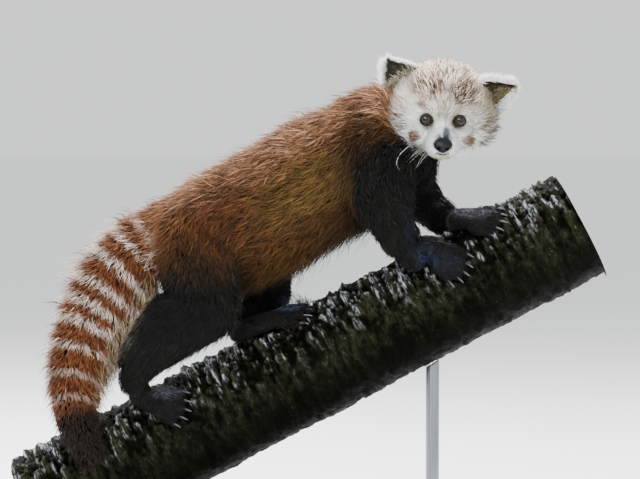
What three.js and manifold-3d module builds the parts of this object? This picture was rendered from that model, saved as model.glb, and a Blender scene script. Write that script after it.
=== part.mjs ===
// A life-size red panda walking up a sloping log, its head turned to look out to the side,
// on a plain display stand. Millimetres, +Z up. +X runs up the log, and -Y is the animal's
// right side. The origin is the middle of the underside of the stand's base.
import * as THREE from "three";
import { mergeVertices } from "three/addons/utils/BufferGeometryUtils.js";
import Module from "manifold-3d";

const wasm = await Module();
wasm.setup();

// Clearance between pieces that touch, and between the two faces of a thin cut.
const GAP = 0.3;
// Faces nearer than this to flat are merged.
const SIMPLIFY = 0.09;

// The log: a cylinder with ridged bark, cut square at both ends.
const LOG_SLOPE = THREE.MathUtils.degToRad(27.7);
const LOG_RADIUS = 73;
const LOG_AXIS_HEIGHT = 307;
const LOG_LOW_END = -398;
const LOG_HIGH_END = 420;
const BARK_RIDGES = 17;
const BARK_HEIGHT = 3.2;
const LOG_SIDES = 16;

// The stand.
const BASE_LENGTH = 460;
const BASE_WIDTH = 260;
const BASE_THICKNESS = 18;
const ROD_RADIUS = 9;
const ROD_PLACES = { low: -190, high: 176 };

// The coat: how far the tips of the locks stand over the core, as a share of the half size there.
const COAT = { torso: 0.15, neck: 0.19, thigh: 0.22, arm: 0.2, tail: 0.34 };
const CHEEK_COAT = 7;
const LOCK_THICK = 6;
const LOCK_COVER = 1.2;

// The head: its middle, and how it is turned.
const HEAD_CENTRE = [187, -25, 657];
const HEAD_ROLL = THREE.MathUtils.degToRad(2);
const HEAD_PITCH = THREE.MathUtils.degToRad(3);
const EYE_RADIUS = 8.6;
const EYE_SPREAD = 22;
const EYE_FORWARD = 42;
const EYE_DROP = -13.2;

const point = (x, y, z) => new THREE.Vector3(x, y, z);
const LOG_UP = point(Math.cos(LOG_SLOPE), 0, Math.sin(LOG_SLOPE));
const LOG_NORMAL = point(-Math.sin(LOG_SLOPE), 0, Math.cos(LOG_SLOPE));
const LOG_ORIGIN = point(0, 0, LOG_AXIS_HEIGHT);

// A number that looks random and is always the same for the same seed.
function chance(seed) {
  const wave = Math.sin(seed * 127.1 + 311.7) * 43758.5453;
  return wave - Math.floor(wave);
}

// A closed mesh as a solid, turned right way out.
function solidOf(geometry) {
  geometry.deleteAttribute("normal");
  geometry.deleteAttribute("uv");
  const merged = mergeVertices(geometry, 1e-3);
  const triVerts = new Uint32Array(merged.index.array);
  const vertProperties = new Float32Array(merged.attributes.position.array);
  const make = () => new wasm.Manifold(new wasm.Mesh({ numProp: 3, vertProperties, triVerts }));
  const made = make();
  if (made.volume() > 0) return made;
  for (let i = 0; i < triVerts.length; i += 3) {
    [triVerts[i + 1], triVerts[i + 2]] = [triVerts[i + 2], triVerts[i + 1]];
  }
  return make();
}

// Rings of points, all of one count, skinned into a closed solid. A ring of one point is a tip.
function skinRings(rings) {
  const places = [];
  const faces = [];
  const starts = [];
  for (const ring of rings) {
    starts.push(places.length);
    places.push(...ring);
  }
  for (let r = 0; r + 1 < rings.length; r++) {
    const count = Math.max(rings[r].length, rings[r + 1].length);
    for (let i = 0; i < count; i++) {
      const j = (i + 1) % count;
      const near = rings[r].length === 1 ? [0, 0] : [i, j];
      const far = rings[r + 1].length === 1 ? [0, 0] : [i, j];
      const [a, b] = near.map((n) => starts[r] + n);
      const [c, d] = far.map((n) => starts[r + 1] + n);
      if (a !== b) faces.push(a, b, c);
      if (c !== d) faces.push(b, d, c);
    }
  }
  // An end is closed by a strip between its two halves, which also fits a C-shaped ring.
  const close = (start, count, order) => {
    for (let i = 0; 2 * i + 2 < count; i++) {
      const [a, b, c, d] = [i, i + 1, count - 2 - i, count - 1 - i].map((n) => start + n);
      if (b !== c) faces.push(...order([a, b, c]));
      faces.push(...order([a, c, d]));
    }
  };
  close(starts[0], rings[0].length, (f) => f.reverse());
  close(starts.at(-1), rings.at(-1).length, (f) => f);
  const geometry = new THREE.BufferGeometry().setFromPoints(places);
  geometry.setIndex(faces);
  return solidOf(geometry);
}

// A limb, trunk or tail: stations along a smooth spine, each [x, y, z, half-width, height over
// the spine, depth under it] out to the tips of the coat. Its core lies inside them by the share
// coat. The lie of its hair runs from the first station to the last.
class Limb {
  constructor(stations, { coat = 0, across = point(0, 1, 0) } = {}) {
    this.across = across;
    this.coat = coat;
    this.spine = new THREE.CatmullRomCurve3(stations.map(([x, y, z]) => point(x, y, z)));
    const sizes = stations.map(([, , , wide, high, deep = high]) => point(wide, high, deep));
    this.sizes = new THREE.CatmullRomCurve3(sizes, false, "catmullrom", 0.5);
  }

  frame(t) {
    const middle = this.spine.getPoint(t);
    const along = this.spine.getTangent(t);
    const side = this.across.clone().addScaledVector(along, -this.across.dot(along)).normalize();
    const up = side.clone().cross(along);
    const outer = this.sizes.getPoint(t);
    const rise = (this.coat * (2 * outer.x + outer.y + outer.z)) / 4;
    return { middle, along, side, up, rise, size: outer.subScalar(rise) };
  }

  // Whether a place lies inside the core, grown by a clearance.
  holds(place, grow) {
    const shares = Array.from({ length: 17 }, (_, k) => k / 16);
    return shares.some((t) => {
      const { middle, side, up, along, size } = this.frame(t);
      const off = place.clone().sub(middle);
      const high = (off.dot(up) > 0 ? size.y : size.z) + grow;
      const wide = size.x + grow;
      return Math.abs(off.dot(along)) < wide / 2 && Math.hypot(off.dot(side) / wide, off.dot(up) / high) < 1;
    });
  }

  // The core at share t of the spine and an angle round it, 90 degrees being over the spine.
  surface(t, angle, grow = 0) {
    const { middle, along, side, up, size, rise } = this.frame(t);
    const wide = size.x + grow;
    const high = (Math.sin(angle) > 0 ? size.y : size.z) + grow;
    const place = middle.addScaledVector(side, wide * Math.cos(angle));
    place.addScaledVector(up, high * Math.sin(angle));
    const normal = side.multiplyScalar(Math.cos(angle) / wide);
    normal.addScaledVector(up, Math.sin(angle) / high).normalize();
    return { place, normal, along, rise, around: (wide + high) / 2 };
  }

  solid(grow, { sides, rings, from = 0, to = 1, domes = [0, 0] }) {
    const shares = [];
    for (let i = 0; i <= rings; i++) shares.push(from + ((to - from) * i) / rings);
    const loops = shares.map((t) => this.loop(t, grow, sides, 1, 0));
    const dome = (t, reach) => [0.45, 0.8].map((k) => [Math.sqrt(1 - k * k), k * reach, t]);
    for (const [shrink, reach, t] of dome(from, domes[0])) {
      if (reach) loops.unshift(this.loop(t, grow, sides, shrink, -reach - grow));
    }
    for (const [shrink, reach, t] of dome(to, domes[1])) {
      if (reach) loops.push(this.loop(t, grow, sides, shrink, reach + grow));
    }
    if (domes[0]) loops.unshift([this.loop(from, grow, 1, 0, -domes[0] - grow)[0]]);
    if (domes[1]) loops.push([this.loop(to, grow, 1, 0, domes[1] + grow)[0]]);
    return skinRings(loops);
  }

  loop(t, grow, sides, shrink, shift) {
    const { middle, along } = this.frame(t);
    const centre = middle.clone().addScaledVector(along, shift);
    const loop = [];
    for (let i = 0; i < sides; i++) {
      const { place } = this.surface(t, (i / sides) * 2 * Math.PI, grow);
      loop.push(place.sub(middle).multiplyScalar(shrink).add(centre));
    }
    return loop;
  }
}

// One flat, tapered lock, low and three-sided across: rooted under the surface, it rises and
// bends along the lie.
const LOCK_SHAPE = [
  { along: -0.1, lift: -1, wide: 0.8, thick: 1 },
  { along: 0.36, lift: 0.6, wide: 1, thick: 1 },
  { along: 0.72, lift: 1, wide: 0.72, thick: 0.8 },
];
const LOCK_SINK = 6;
function lockSolid({ place, normal, lie, length, width, rise, curl, cup }, grow) {
  const forward = lie.clone().addScaledVector(normal, -lie.dot(normal)).normalize();
  const side = normal.clone().cross(forward).normalize();
  const rings = LOCK_SHAPE.map((part) => {
    const centre = place.clone().addScaledVector(forward, part.along * length);
    centre.addScaledVector(normal, part.lift < 0 ? -LOCK_SINK : part.lift * rise);
    centre.addScaledVector(side, curl * part.along * part.along);
    const half = (width / 2) * part.wide + grow;
    const deep = (LOCK_THICK / 2) * part.thick + grow;
    return [
      centre.clone().addScaledVector(side, half).addScaledVector(normal, -half * cup),
      centre.clone().addScaledVector(normal, deep),
      centre.clone().addScaledVector(side, -half).addScaledVector(normal, -half * cup),
    ];
  });
  const tip = place.clone().addScaledVector(forward, length + grow);
  tip.addScaledVector(normal, rise * 0.86).addScaledVector(side, curl);
  return skinRings([...rings, [tip]]);
}

// Rows of locks over a limb, staggered like tiles, each rooted on the core and rising to the
// outline. None grows where another limb's core covers the root. droop pulls the flanks' lie down.
function coatLocks(limb, { span, rows, around, angles = [0, 360], length, droop = 0, seed, clear = [] }) {
  const found = [];
  const [first, last] = angles.map(THREE.MathUtils.degToRad);
  for (let row = 0; row < rows; row++) {
    const t = span[0] + ((span[1] - span[0]) * (row + 0.5)) / rows;
    for (let i = 0; i < around; i++) {
      const n = seed + row * 31 + i;
      const share = (i + (row % 2) / 2 + 0.3 * (chance(n) - 0.5)) / around;
      const angle = first + share * (last - first);
      const { place, normal, along, rise, around: bend } = limb.surface(t, angle, 0);
      if (clear.some((other) => other.holds(place, 0))) continue;
      const ahead = limb.spine.getTangent(Math.min(1, t + length / limb.spine.getLength()));
      const fall = droop * (1 - Math.abs(normal.z));
      const size = 0.86 + 0.28 * chance(n + 7.3);
      found.push({
        place, normal,
        lie: along.clone().add(ahead).add(point(0, 0, -2 * fall)),
        rise: rise * (0.75 + 0.3 * chance(n + 3.1)),
        length: length * size,
        width: LOCK_COVER * bend * (last - first) / around,
        curl: length * 0.14 * (chance(n + 5.9) - 0.5),
        cup: LOCK_COVER * (last - first) / around / 4,
      });
    }
  }
  return found;
}

// A place on the log's bark: s along the axis, an angle from its top towards -Y, and a height.
function onLog(s, angle, height) {
  const out = LOG_NORMAL.clone().multiplyScalar(Math.cos(angle)).add(point(0, -Math.sin(angle), 0));
  return LOG_ORIGIN.clone().addScaledVector(LOG_UP, s).addScaledVector(out, LOG_RADIUS + height);
}

function logSolid(grow) {
  const rings = [];
  const steps = BARK_RIDGES * 2;
  for (let k = 0; k <= steps; k++) {
    const end = k === 0 ? -grow : k === steps ? grow : 0;
    const loop = [];
    for (let i = 0; i < LOG_SIDES; i++) {
      const angle = (i / LOG_SIDES) * 2 * Math.PI;
      const inner = k > 0 && k < steps;
      const wander = inner ? 5 * Math.sin(2 * angle + k * 0.9) + 4 * (chance(k * 57 + i) - 0.5) : 0;
      const s = LOG_LOW_END + ((LOG_HIGH_END - LOG_LOW_END) * k) / steps + wander + end;
      const ridge = (k % 2 ? 1 : -1) * BARK_HEIGHT * (0.4 + 0.6 * chance(k * 13 + i * 5));
      loop.push(onLog(s, angle, ridge + grow));
    }
    rings.push(loop);
  }
  return skinRings(rings);
}

function baseSolid(grow) {
  const [x, y, r] = [BASE_LENGTH / 2 + grow, BASE_WIDTH / 2 + grow, 16];
  const outline = new THREE.Shape();
  outline.moveTo(-x + r, -y).lineTo(x - r, -y);
  outline.absarc(x - r, -y + r, r, -Math.PI / 2, 0, false);
  outline.absarc(x - r, y - r, r, 0, Math.PI / 2, false);
  outline.absarc(-x + r, y - r, r, Math.PI / 2, Math.PI, false);
  outline.absarc(-x + r, -y + r, r, Math.PI, 1.5 * Math.PI, false);
  const bevel = 3;
  const geometry = new THREE.ExtrudeGeometry(outline, {
    depth: BASE_THICKNESS + 2 * grow - bevel * 2, curveSegments: 4,
    bevelThickness: bevel, bevelSize: bevel, bevelOffset: -bevel, bevelSegments: 1,
  });
  geometry.translate(0, 0, bevel - grow);
  return solidOf(geometry);
}

// A rod with a round foot, from the base up into the log, which then cuts it to fit.
function rodSolid(x, grow) {
  const top = LOG_AXIS_HEIGHT + x * Math.tan(LOG_SLOPE) - 30;
  const [r, foot] = [ROD_RADIUS + grow, 24 + grow];
  const bottom = BASE_THICKNESS + GAP - grow;
  const profile = [
    [0, bottom], [foot, bottom], [foot, bottom + 5 + grow], [r + 3, bottom + 9 + grow],
    [r, bottom + 14 + grow], [r, top], [0, top],
  ].map(([radius, height]) => new THREE.Vector2(radius, height));
  const geometry = new THREE.LatheGeometry(profile, 16);
  geometry.rotateX(Math.PI / 2);
  geometry.translate(x, 0, 0);
  return solidOf(geometry);
}

const torso = new Limb([
  [152, 0, 600, 46, 50, 58],
  [126, 0, 599, 62, 72, 76],
  [92, 0, 590, 72, 84, 84],
  [46, 0, 572, 78, 89, 88],
  [-4, 0, 547, 80, 87, 90],
  [-58, 0, 521, 79, 82, 98],
  [-112, 0, 496, 76, 77, 92],
  [-156, 0, 480, 64, 62, 66],
  [-186, 0, 470, 42, 40, 42],
], { coat: COAT.torso });
const neck = new Limb([
  [192, -14, 650, 36, 46],
  [160, -3, 640, 45, 62],
  [126, 0, 620, 58, 80, 74],
  [92, 0, 600, 62, 85, 74],
], { coat: COAT.neck });
const tail = new Limb([
  [-172, 0, 500, 40, 46],
  [-196, 0, 488, 48, 50, 54],
  [-224, 0, 466, 53, 51, 62],
  [-258, -6, 417, 58, 56, 70],
  [-282, -16, 364, 52, 52, 60],
  [-293, -30, 317, 46, 46, 48],
  [-296, -46, 277, 38, 39],
  [-288, -62, 238, 31, 32],
  [-274, -75, 205, 22, 24],
], { coat: COAT.tail });

// Legs: thigh or upper arm, then shank or forearm, each from top to bottom.
const LEGS = {
  hind_right: {
    upper: new Limb([[-128, -36, 482, 34, 58, 56],
      [-124, -54, 434, 34, 60, 50], [-112, -61, 398, 27, 42, 38]], { coat: COAT.thigh }),
    lower: new Limb([[-112, -61, 398, 27, 42, 38], [-150, -63, 378, 28, 50, 42],
      [-178, -64, 354, 25, 44, 34], [-205, -63, 330, 20, 32, 28], [-217, -62, 306, 17, 23, 22],
      [-219, -62, 292, 16, 18, 18]]),
    paw: { s: -181, angle: 46, heading: 42, length: 38, hind: true, from: [-220, -62, 306] },
  },
  hind_left: {
    upper: new Limb([[-112, 36, 480, 34, 54],
      [-66, 52, 441, 31, 44], [-36, 50, 416, 25, 31]], { coat: COAT.thigh }),
    lower: new Limb([[-38, 50, 418, 23, 29], [-54, 36, 388, 21, 27], [-72, 16, 367, 17, 19],
      [-74, 8, 360, 16, 17]]),
    paw: { s: -9, angle: 17, heading: 12, length: 76, hind: true, from: [-74, 4, 362] },
  },
  fore_right: {
    upper: new Limb([[96, -44, 590, 31, 52],
      [108, -57, 540, 29, 42], [120, -62, 508, 24, 31]], { coat: COAT.arm }),
    lower: new Limb([[119, -62, 511, 23, 30], [131, -64, 488, 20, 26], [144, -65, 468, 17, 20],
      [152, -66, 458, 16, 17]]),
    paw: { s: 236, angle: 48, heading: 62, length: 36, hind: false, from: [146, -65, 470] },
  },
  fore_left: {
    upper: new Limb([[124, 42, 584, 31, 48],
      [150, 54, 548, 27, 37], [171, 50, 524, 22, 28]], { coat: COAT.arm }),
    lower: new Limb([[170, 51, 526, 21, 27], [193, 36, 507, 18, 21], [211, 20, 499, 16, 17],
      [222, 10, 495, 15, 15]]),
    paw: { s: 294, angle: 25, heading: 36, length: 42, hind: false, from: [211, 18, 499] },
  },
};

// A paw on the log: the palm or sole, five toes and their claws, bent round the bark.
const TOES = [-2, -1, 0, 1, 2];
function pawSolid({ s, angle, heading, length, hind, from }, grow) {
  const turn = THREE.MathUtils.degToRad(heading);
  const start = THREE.MathUtils.degToRad(angle);
  const at = (x, y, height) => {
    const across = x * Math.sin(turn) + y * Math.cos(turn);
    return onLog(s + x * Math.cos(turn) - y * Math.sin(turn), start + across / LOG_RADIUS, height);
  };
  const side = at(0, -1, 10).sub(at(0, 1, 10)).normalize();
  const station = (x, y, height, wide, high) => [...at(x, y, height).toArray(), wide, high];
  const front = length / 2;
  const palm = new Limb([
    [...from, hind ? 16 : 17, hind ? 16 : 17],
    station(-front, 0, 14, 17, 14),
    station(0, 0, 12, 20, 12),
    station(front - 8, 0, 10, 21, 10),
  ], { across: side });
  const pieces = [palm.solid(grow, { sides: 8, rings: 4, domes: [10, 6] })];
  for (const toe of TOES) {
    const reach = front + 14 - 2.2 * toe * toe;
    const y = toe * 8.6;
    const digit = new Limb([
      station(reach - 16, y * 1.04, 9, 4.2, 8),
      station(reach - 6, y * 1.12, 8, 4.4, 7),
      station(reach + 3, y * 1.2, 5.5, 3.8, 5),
    ], { across: side });
    pieces.push(digit.solid(grow, { sides: 5, rings: 2, domes: [0, 3] }));
    const claw = new Limb([
      station(reach + 1, y * 1.2, 7.5, 2.2, 2.6),
      station(reach + 10, y * 1.3, 6.5, 1.6, 2),
      station(reach + 17, y * 1.36, 3, 0.6, 0.8),
    ], { across: side });
    pieces.push(claw.solid(grow, { sides: 3, rings: 2 }));
  }
  return wasm.Manifold.union(pieces);
}

// The head's own frame: x to its left, y out through the face, z up.
const HEAD = new THREE.Matrix4()
  .makeTranslation(...HEAD_CENTRE)
  .multiply(new THREE.Matrix4().makeRotationY(HEAD_ROLL))
  .multiply(new THREE.Matrix4().makeRotationX(HEAD_PITCH))
  .multiply(new THREE.Matrix4().makeScale(1, -1, 1));
const inHead = (x, y, z) => point(x, y, z).applyMatrix4(HEAD);
const headWay = (x, y, z) => inHead(x, y, z).sub(inHead(0, 0, 0));

// The masses of the head, each an ellipsoid [centre, radii], out to the short fur.
const mirrored = ([x, y, z], size) => [[[x, y, z], size], [[-x, y, z], size]];
const HEAD_MASSES = [
  [[0, -8, 10], [60, 54, 53]],
  [[0, 16, 8], [42, 29, 34]],
  ...mirrored([35, 0, -17], [33, 36, 33]),
  ...mirrored([22, 18, -35], [21, 24, 19]),
  [[0, 34, -20], [13, 26, 17]],
  [[0, 44, -40], [19, 26, 17]],
  ...mirrored([10, 51, -46], [12, 17, 12]),
  [[0, 42, -54], [14, 20, 9]],
];
const BLEND = 5;
function headField(p, grow) {
  let total = 0;
  for (const [centre, size] of HEAD_MASSES) {
    const q = p.clone().sub(point(...centre));
    const near = q.clone().divide(point(...size)).length();
    const steep = q.divide(point(...size.map((r) => r * r))).length() || 1e-6;
    total += Math.exp((-near * (near - 1)) / steep / BLEND);
  }
  return -BLEND * Math.log(total) - grow;
}
function headSurface(ray, grow) {
  const middle = point(0, 4, -6);
  let reach = 110;
  for (let step = 0; step < 60; step++) {
    reach -= 0.7 * headField(ray.clone().multiplyScalar(reach).add(middle), grow);
  }
  return ray.clone().multiplyScalar(reach).add(middle);
}
function headCore(grow) {
  const ball = new THREE.SphereGeometry(1, 22, 16);
  const places = ball.attributes.position;
  for (let i = 0; i < places.count; i++) {
    const ray = point(0, 0, 0).fromBufferAttribute(places, i).normalize();
    const place = headSurface(ray, grow).applyMatrix4(HEAD);
    places.setXYZ(i, place.x, place.y, place.z);
  }
  return solidOf(ball);
}

// The ruff: locks of the cheeks and of the back of the head, which lie out, down and backwards.
// Each is [degrees round the face from straight down, how far forward its root looks].
const RUFF = [
  [24, 0.1], [52, 0.2], [80, 0.12], [108, 0], [38, -0.35], [70, -0.35], [100, -0.42],
];
function ruffLocks() {
  const found = [];
  for (const side of [-1, 1]) {
    RUFF.forEach(([degrees, forward], i) => {
      const n = 700 + i + 20 * side;
      const angle = THREE.MathUtils.degToRad(degrees);
      const ray = point(side * Math.sin(angle), forward, -Math.cos(angle)).normalize();
      const place = headSurface(ray, 0).applyMatrix4(HEAD);
      const normal = headWay(ray.x, ray.y, ray.z).normalize();
      const lie = headWay(side * Math.sin(angle) * 0.8, -0.9, -0.55 - 0.3 * Math.cos(angle));
      const size = 0.85 + 0.3 * chance(n);
      found.push({
        place, normal, lie, rise: CHEEK_COAT, length: 34 * size, width: 26 * size,
        curl: 8 * (chance(n + 4) - 0.5), cup: 0.15,
      });
    });
  }
  return found;
}

// A thin tube through a few places of the head's frame.
function strand(places, radius, steps = 12) {
  const curve = new THREE.CatmullRomCurve3(places.map((p) => inHead(...p)));
  const section = new THREE.Shape().absarc(0, 0, radius, 0, 2 * Math.PI, false);
  return solidOf(new THREE.ExtrudeGeometry(section, { extrudePath: curve, steps, curveSegments: 3 }));
}

const MOUTH_LINE = [[-15, 52, -52], [-9, 63, -55.5], [0, 68, -56.5], [9, 63, -55.5], [15, 52, -52]];
function lidRim(side, grow) {
  const rim = new THREE.TorusGeometry(EYE_RADIUS - 0.2, 2.1 + grow, 4, 12);
  rim.scale(1.06, 0.92, 1);
  rim.rotateX(Math.PI / 2);
  rim.rotateZ(-side * 0.32);
  rim.translate(side * EYE_SPREAD, EYE_FORWARD + 4.4, EYE_DROP);
  rim.applyMatrix4(HEAD);
  return solidOf(rim);
}
function headSolid(grow) {
  const lips = strand(MOUTH_LINE.map(([x, y, z]) => [x, y - 1.5, z - 2.4]), 2.6 + grow);
  return wasm.Manifold.union([headCore(grow), lidRim(1, grow), lidRim(-1, grow), lips])
    .subtract(strand(MOUTH_LINE.map(([x, y, z]) => [x, y + 1.6, z]), 1.3));
}
function eyeSolid(side, grow) {
  const ball = new THREE.SphereGeometry(EYE_RADIUS + grow, 10, 8);
  ball.translate(side * EYE_SPREAD, EYE_FORWARD, EYE_DROP);
  ball.applyMatrix4(HEAD);
  return solidOf(ball);
}

// The nose pad: rounded, wider above, with two comma-shaped nostrils.
function noseSolid(grow) {
  const pad = new THREE.SphereGeometry(1, 12, 8);
  const places = pad.attributes.position;
  for (let i = 0; i < places.count; i++) {
    const [x, y, z] = [places.getX(i), places.getY(i), places.getZ(i)];
    const wide = 12.2 + 1.6 * z;
    places.setXYZ(i, x * (wide + grow), 70 + y * (8 + grow) - 2 * z, -44 + z * (9.5 + grow));
  }
  pad.applyMatrix4(HEAD);
  let made = solidOf(pad);
  if (grow) return made;
  for (const side of [-1, 1]) {
    const hole = new THREE.SphereGeometry(1, 8, 6);
    hole.scale(3, 6, 2);
    hole.rotateY(side * 0.5);
    hole.translate(side * 6.2, 79, -47);
    hole.applyMatrix4(HEAD);
    made = made.subtract(solidOf(hole));
  }
  return made;
}

// An ear: a cupped leaf, its rings C-shaped, wide at the root and pointed at the tip.
const EARS = {
  right: { root: [-44, -4, 22], tip: [-73.5, -2, 62], faces: [-0.3, 1, 0] },
  left: { root: [48, -4, 9], tip: [96.5, -2, 34], faces: [0.35, 1, -0.4] },
};
const EAR_WALL = 3.2;
const EAR_WIDTHS = [[0, 29, 17], [0.38, 30, 15], [0.55, 25, 12], [0.72, 18.5, 9], [0.88, 11, 5], [1, 3, 2]];
function earSolid({ root, tip, faces }, grow) {
  const along = point(...tip).sub(point(...root));
  const length = along.length();
  along.normalize();
  const open = point(...faces);
  open.addScaledVector(along, -open.dot(along)).normalize();
  const wide = along.clone().cross(open);
  const rings = EAR_WIDTHS.map(([share, halfWidth, depth]) => {
    const middle = point(...root).addScaledVector(along, share * length);
    if (share === 1) middle.addScaledVector(along, grow);
    if (share === 0) middle.addScaledVector(along, -grow);
    const arc = (half, deep) => [-90, -60, -30, 0, 30, 60, 90].map((degrees) => {
      const angle = THREE.MathUtils.degToRad(degrees);
      const place = middle.clone().addScaledVector(wide, half * Math.sin(angle));
      return place.addScaledVector(open, -deep * Math.cos(angle) + (Math.abs(degrees) === 90 ? grow : 0));
    });
    const wall = EAR_WALL + 2 * grow;
    const outer = arc(halfWidth + grow, depth + grow);
    const inner = arc(Math.max(halfWidth + grow - wall, 0.6), Math.max(depth + grow - wall, -1));
    return [...outer, ...inner.reverse()].map((p) => p.applyMatrix4(HEAD));
  });
  return skinRings(rings);
}

// The nodes in the order in which they take their space: each is cut clear of those before it.
// Planes are thin cuts, and a node keeps the side that the normal of each one points to.
const nodes = [];
function addNode(name, material, core, { planes = [], locks = [] } = {}) {
  nodes.push({ name, material, core, planes, locks });
}
const planeAt = (place, normal) => ({ place, normal: normal.clone().normalize() });
const turned = ({ place, normal }) => ({ place, normal: normal.clone().negate() });

// The plane that halves the bend where one limb ends and the next begins. It faces the first.
function bendPlane(first, second) {
  const place = first.spine.getPoint(1);
  const down = first.spine.getTangent(0.9).add(second.spine.getTangent(0.15));
  return planeAt(place, down.negate());
}
function keepSide(solid, planes, clearance) {
  return planes.reduce((rest, { place, normal }) => (
    rest.trimByPlane(normal.toArray(), normal.dot(place) + clearance)), solid);
}

const furMaterial = (color) => new THREE.MeshStandardMaterial({ color, roughness: 0.95, metalness: 0 });
const MATERIALS = {
  russet: furMaterial("#9a4a26"),
  black: furMaterial("#1c1512"),
  cream: furMaterial("#e4ddd0"),
  tail: furMaterial("#a8562f"),
  tip: furMaterial("#3a2018"),
  eye: new THREE.MeshStandardMaterial({ color: "#20140c", roughness: 0.08, metalness: 0 }),
  nose: new THREE.MeshStandardMaterial({ color: "#16161a", roughness: 0.35, metalness: 0 }),
  bark: new THREE.MeshStandardMaterial({ color: "#2e2a26", roughness: 0.85, metalness: 0 }),
  base: new THREE.MeshStandardMaterial({ color: "#3b3633", roughness: 0.5, metalness: 0 }),
  steel: new THREE.MeshStandardMaterial({ color: "#55585c", roughness: 0.35, metalness: 1 }),
};

addNode("log", MATERIALS.bark, logSolid);
addNode("stand_base", MATERIALS.base, baseSolid);
addNode("stand_rod_low", MATERIALS.steel, (grow) => rodSolid(ROD_PLACES.low, grow));
addNode("stand_rod_high", MATERIALS.steel, (grow) => rodSolid(ROD_PLACES.high, grow));
addNode("eye_right", MATERIALS.eye, (grow) => eyeSolid(-1, grow));
addNode("eye_left", MATERIALS.eye, (grow) => eyeSolid(1, grow));
addNode("nose", MATERIALS.nose, noseSolid);
addNode("ear_right", MATERIALS.cream, (grow) => earSolid(EARS.right, grow));
addNode("ear_left", MATERIALS.cream, (grow) => earSolid(EARS.left, grow));
const NAPE = planeAt(point(152, 4, 642), point(0.75, -0.45, 0.48));
addNode("head", MATERIALS.cream, headSolid, { planes: [NAPE], locks: ruffLocks() });
addNode("torso", MATERIALS.russet, (grow) => torso.solid(grow, { sides: 16, rings: 8, domes: [22, 22] }), {
  locks: coatLocks(torso, {
    span: [0.05, 0.95], rows: 5, around: 8, length: 96, droop: 0.4, seed: 100,
    clear: [neck, tail, ...Object.values(LEGS).map((leg) => leg.upper)],
  }),
});
addNode("neck", MATERIALS.russet, (grow) => neck.solid(grow, { sides: 12, rings: 3 }), {
  planes: [turned(NAPE)],
  locks: coatLocks(neck, {
    span: [0.3, 0.8], rows: 1, around: 7, length: 84, droop: 0.3, seed: 200,
    clear: [torso],
  }),
});
for (const [place, leg] of Object.entries(LEGS)) {
  const hind = place.startsWith("hind");
  const end = place.split("_")[1];
  const ankle = planeAt(leg.lower.spine.getPoint(1), leg.lower.spine.getTangent(1));
  const knee = bendPlane(leg.upper, leg.lower);
  addNode("paw_" + place, MATERIALS.black, (grow) => pawSolid(leg.paw, grow), { planes: [ankle] });
  addNode((hind ? "shank_" : "forearm_") + end, MATERIALS.black, (grow) => (
    leg.lower.solid(grow, { sides: 10, rings: 5, domes: [14, 8] })), {
    planes: [turned(knee), turned(ankle)],
  });
  addNode((hind ? "thigh_" : "arm_") + end, hind ? MATERIALS.russet : MATERIALS.black, (grow) => (
    leg.upper.solid(grow, { sides: 10, rings: 4, domes: [14, 18] })), {
    planes: [knee],
    locks: coatLocks(leg.upper, {
      span: [0.2, 0.95], rows: 2, around: 4, length: 58, seed: hind ? 300 : 400,
      clear: [torso],
    }),
  });
}
const TAIL_PARTS = { tail_root: [0, 0.4], tail_middle: [0.4, 0.72], tail_tip: [0.72, 1] };
for (const [name, [from, to]] of Object.entries(TAIL_PARTS)) {
  const material = name === "tail_tip" ? MATERIALS.tip : MATERIALS.tail;
  const domes = [from === 0 ? 16 : 0, to === 1 ? 16 : 0];
  const inset = to === 1 ? 0 : GAP / 300;
  addNode(name, material, (grow) => (
    tail.solid(grow, { sides: 12, rings: Math.round((to - from) * 14), from, to: to - inset, domes })), {
    locks: coatLocks(tail, {
      span: [from, to], rows: Math.round((to - from) * 7.5), around: 6, length: 70,
      seed: 500 + 100 * from, clear: [torso],
    }),
  });
}

// Each core is cut clear of the cores before it, and each coat of all other cores and of the
// coats before it. What fusing seals or cuts loose is dropped.
const clearOf = (solid, others) => (others.length ? solid.subtract(wasm.Manifold.union(others)) : solid);
const group = new THREE.Group();
const grownCores = nodes.map(({ core, planes }) => keepSide(core(GAP * 1.4), planes, 0));
const grownCoats = [];
nodes.forEach(({ name, material, core, planes, locks }, i) => {
  let solid = clearOf(keepSide(core(0), planes, GAP / 2), grownCores.slice(0, i));
  if (locks.length) {
    const coat = wasm.Manifold.union(locks.map((each) => lockSolid(each, 0)));
    solid = solid.add(clearOf(coat, [...grownCores.filter((_, j) => j !== i), ...grownCoats]));
    grownCoats.push(...locks.map((each) => lockSolid(each, GAP * 1.4)));
  }
  const bodies = solid.simplify(SIMPLIFY).decompose().sort((a, b) => b.volume() - a.volume());
  const { vertProperties, triVerts } = bodies[0].getMesh();
  const geometry = new THREE.BufferGeometry();
  geometry.setAttribute("position", new THREE.BufferAttribute(vertProperties, 3));
  geometry.setIndex(new THREE.BufferAttribute(triVerts, 1));
  geometry.computeVertexNormals();
  const mesh = new THREE.Mesh(geometry, material);
  mesh.name = name;
  group.add(mesh);
});

export default group;
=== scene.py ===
import math

import bmesh
import bpy
import numpy as np
from mathutils import Matrix, Vector


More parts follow.
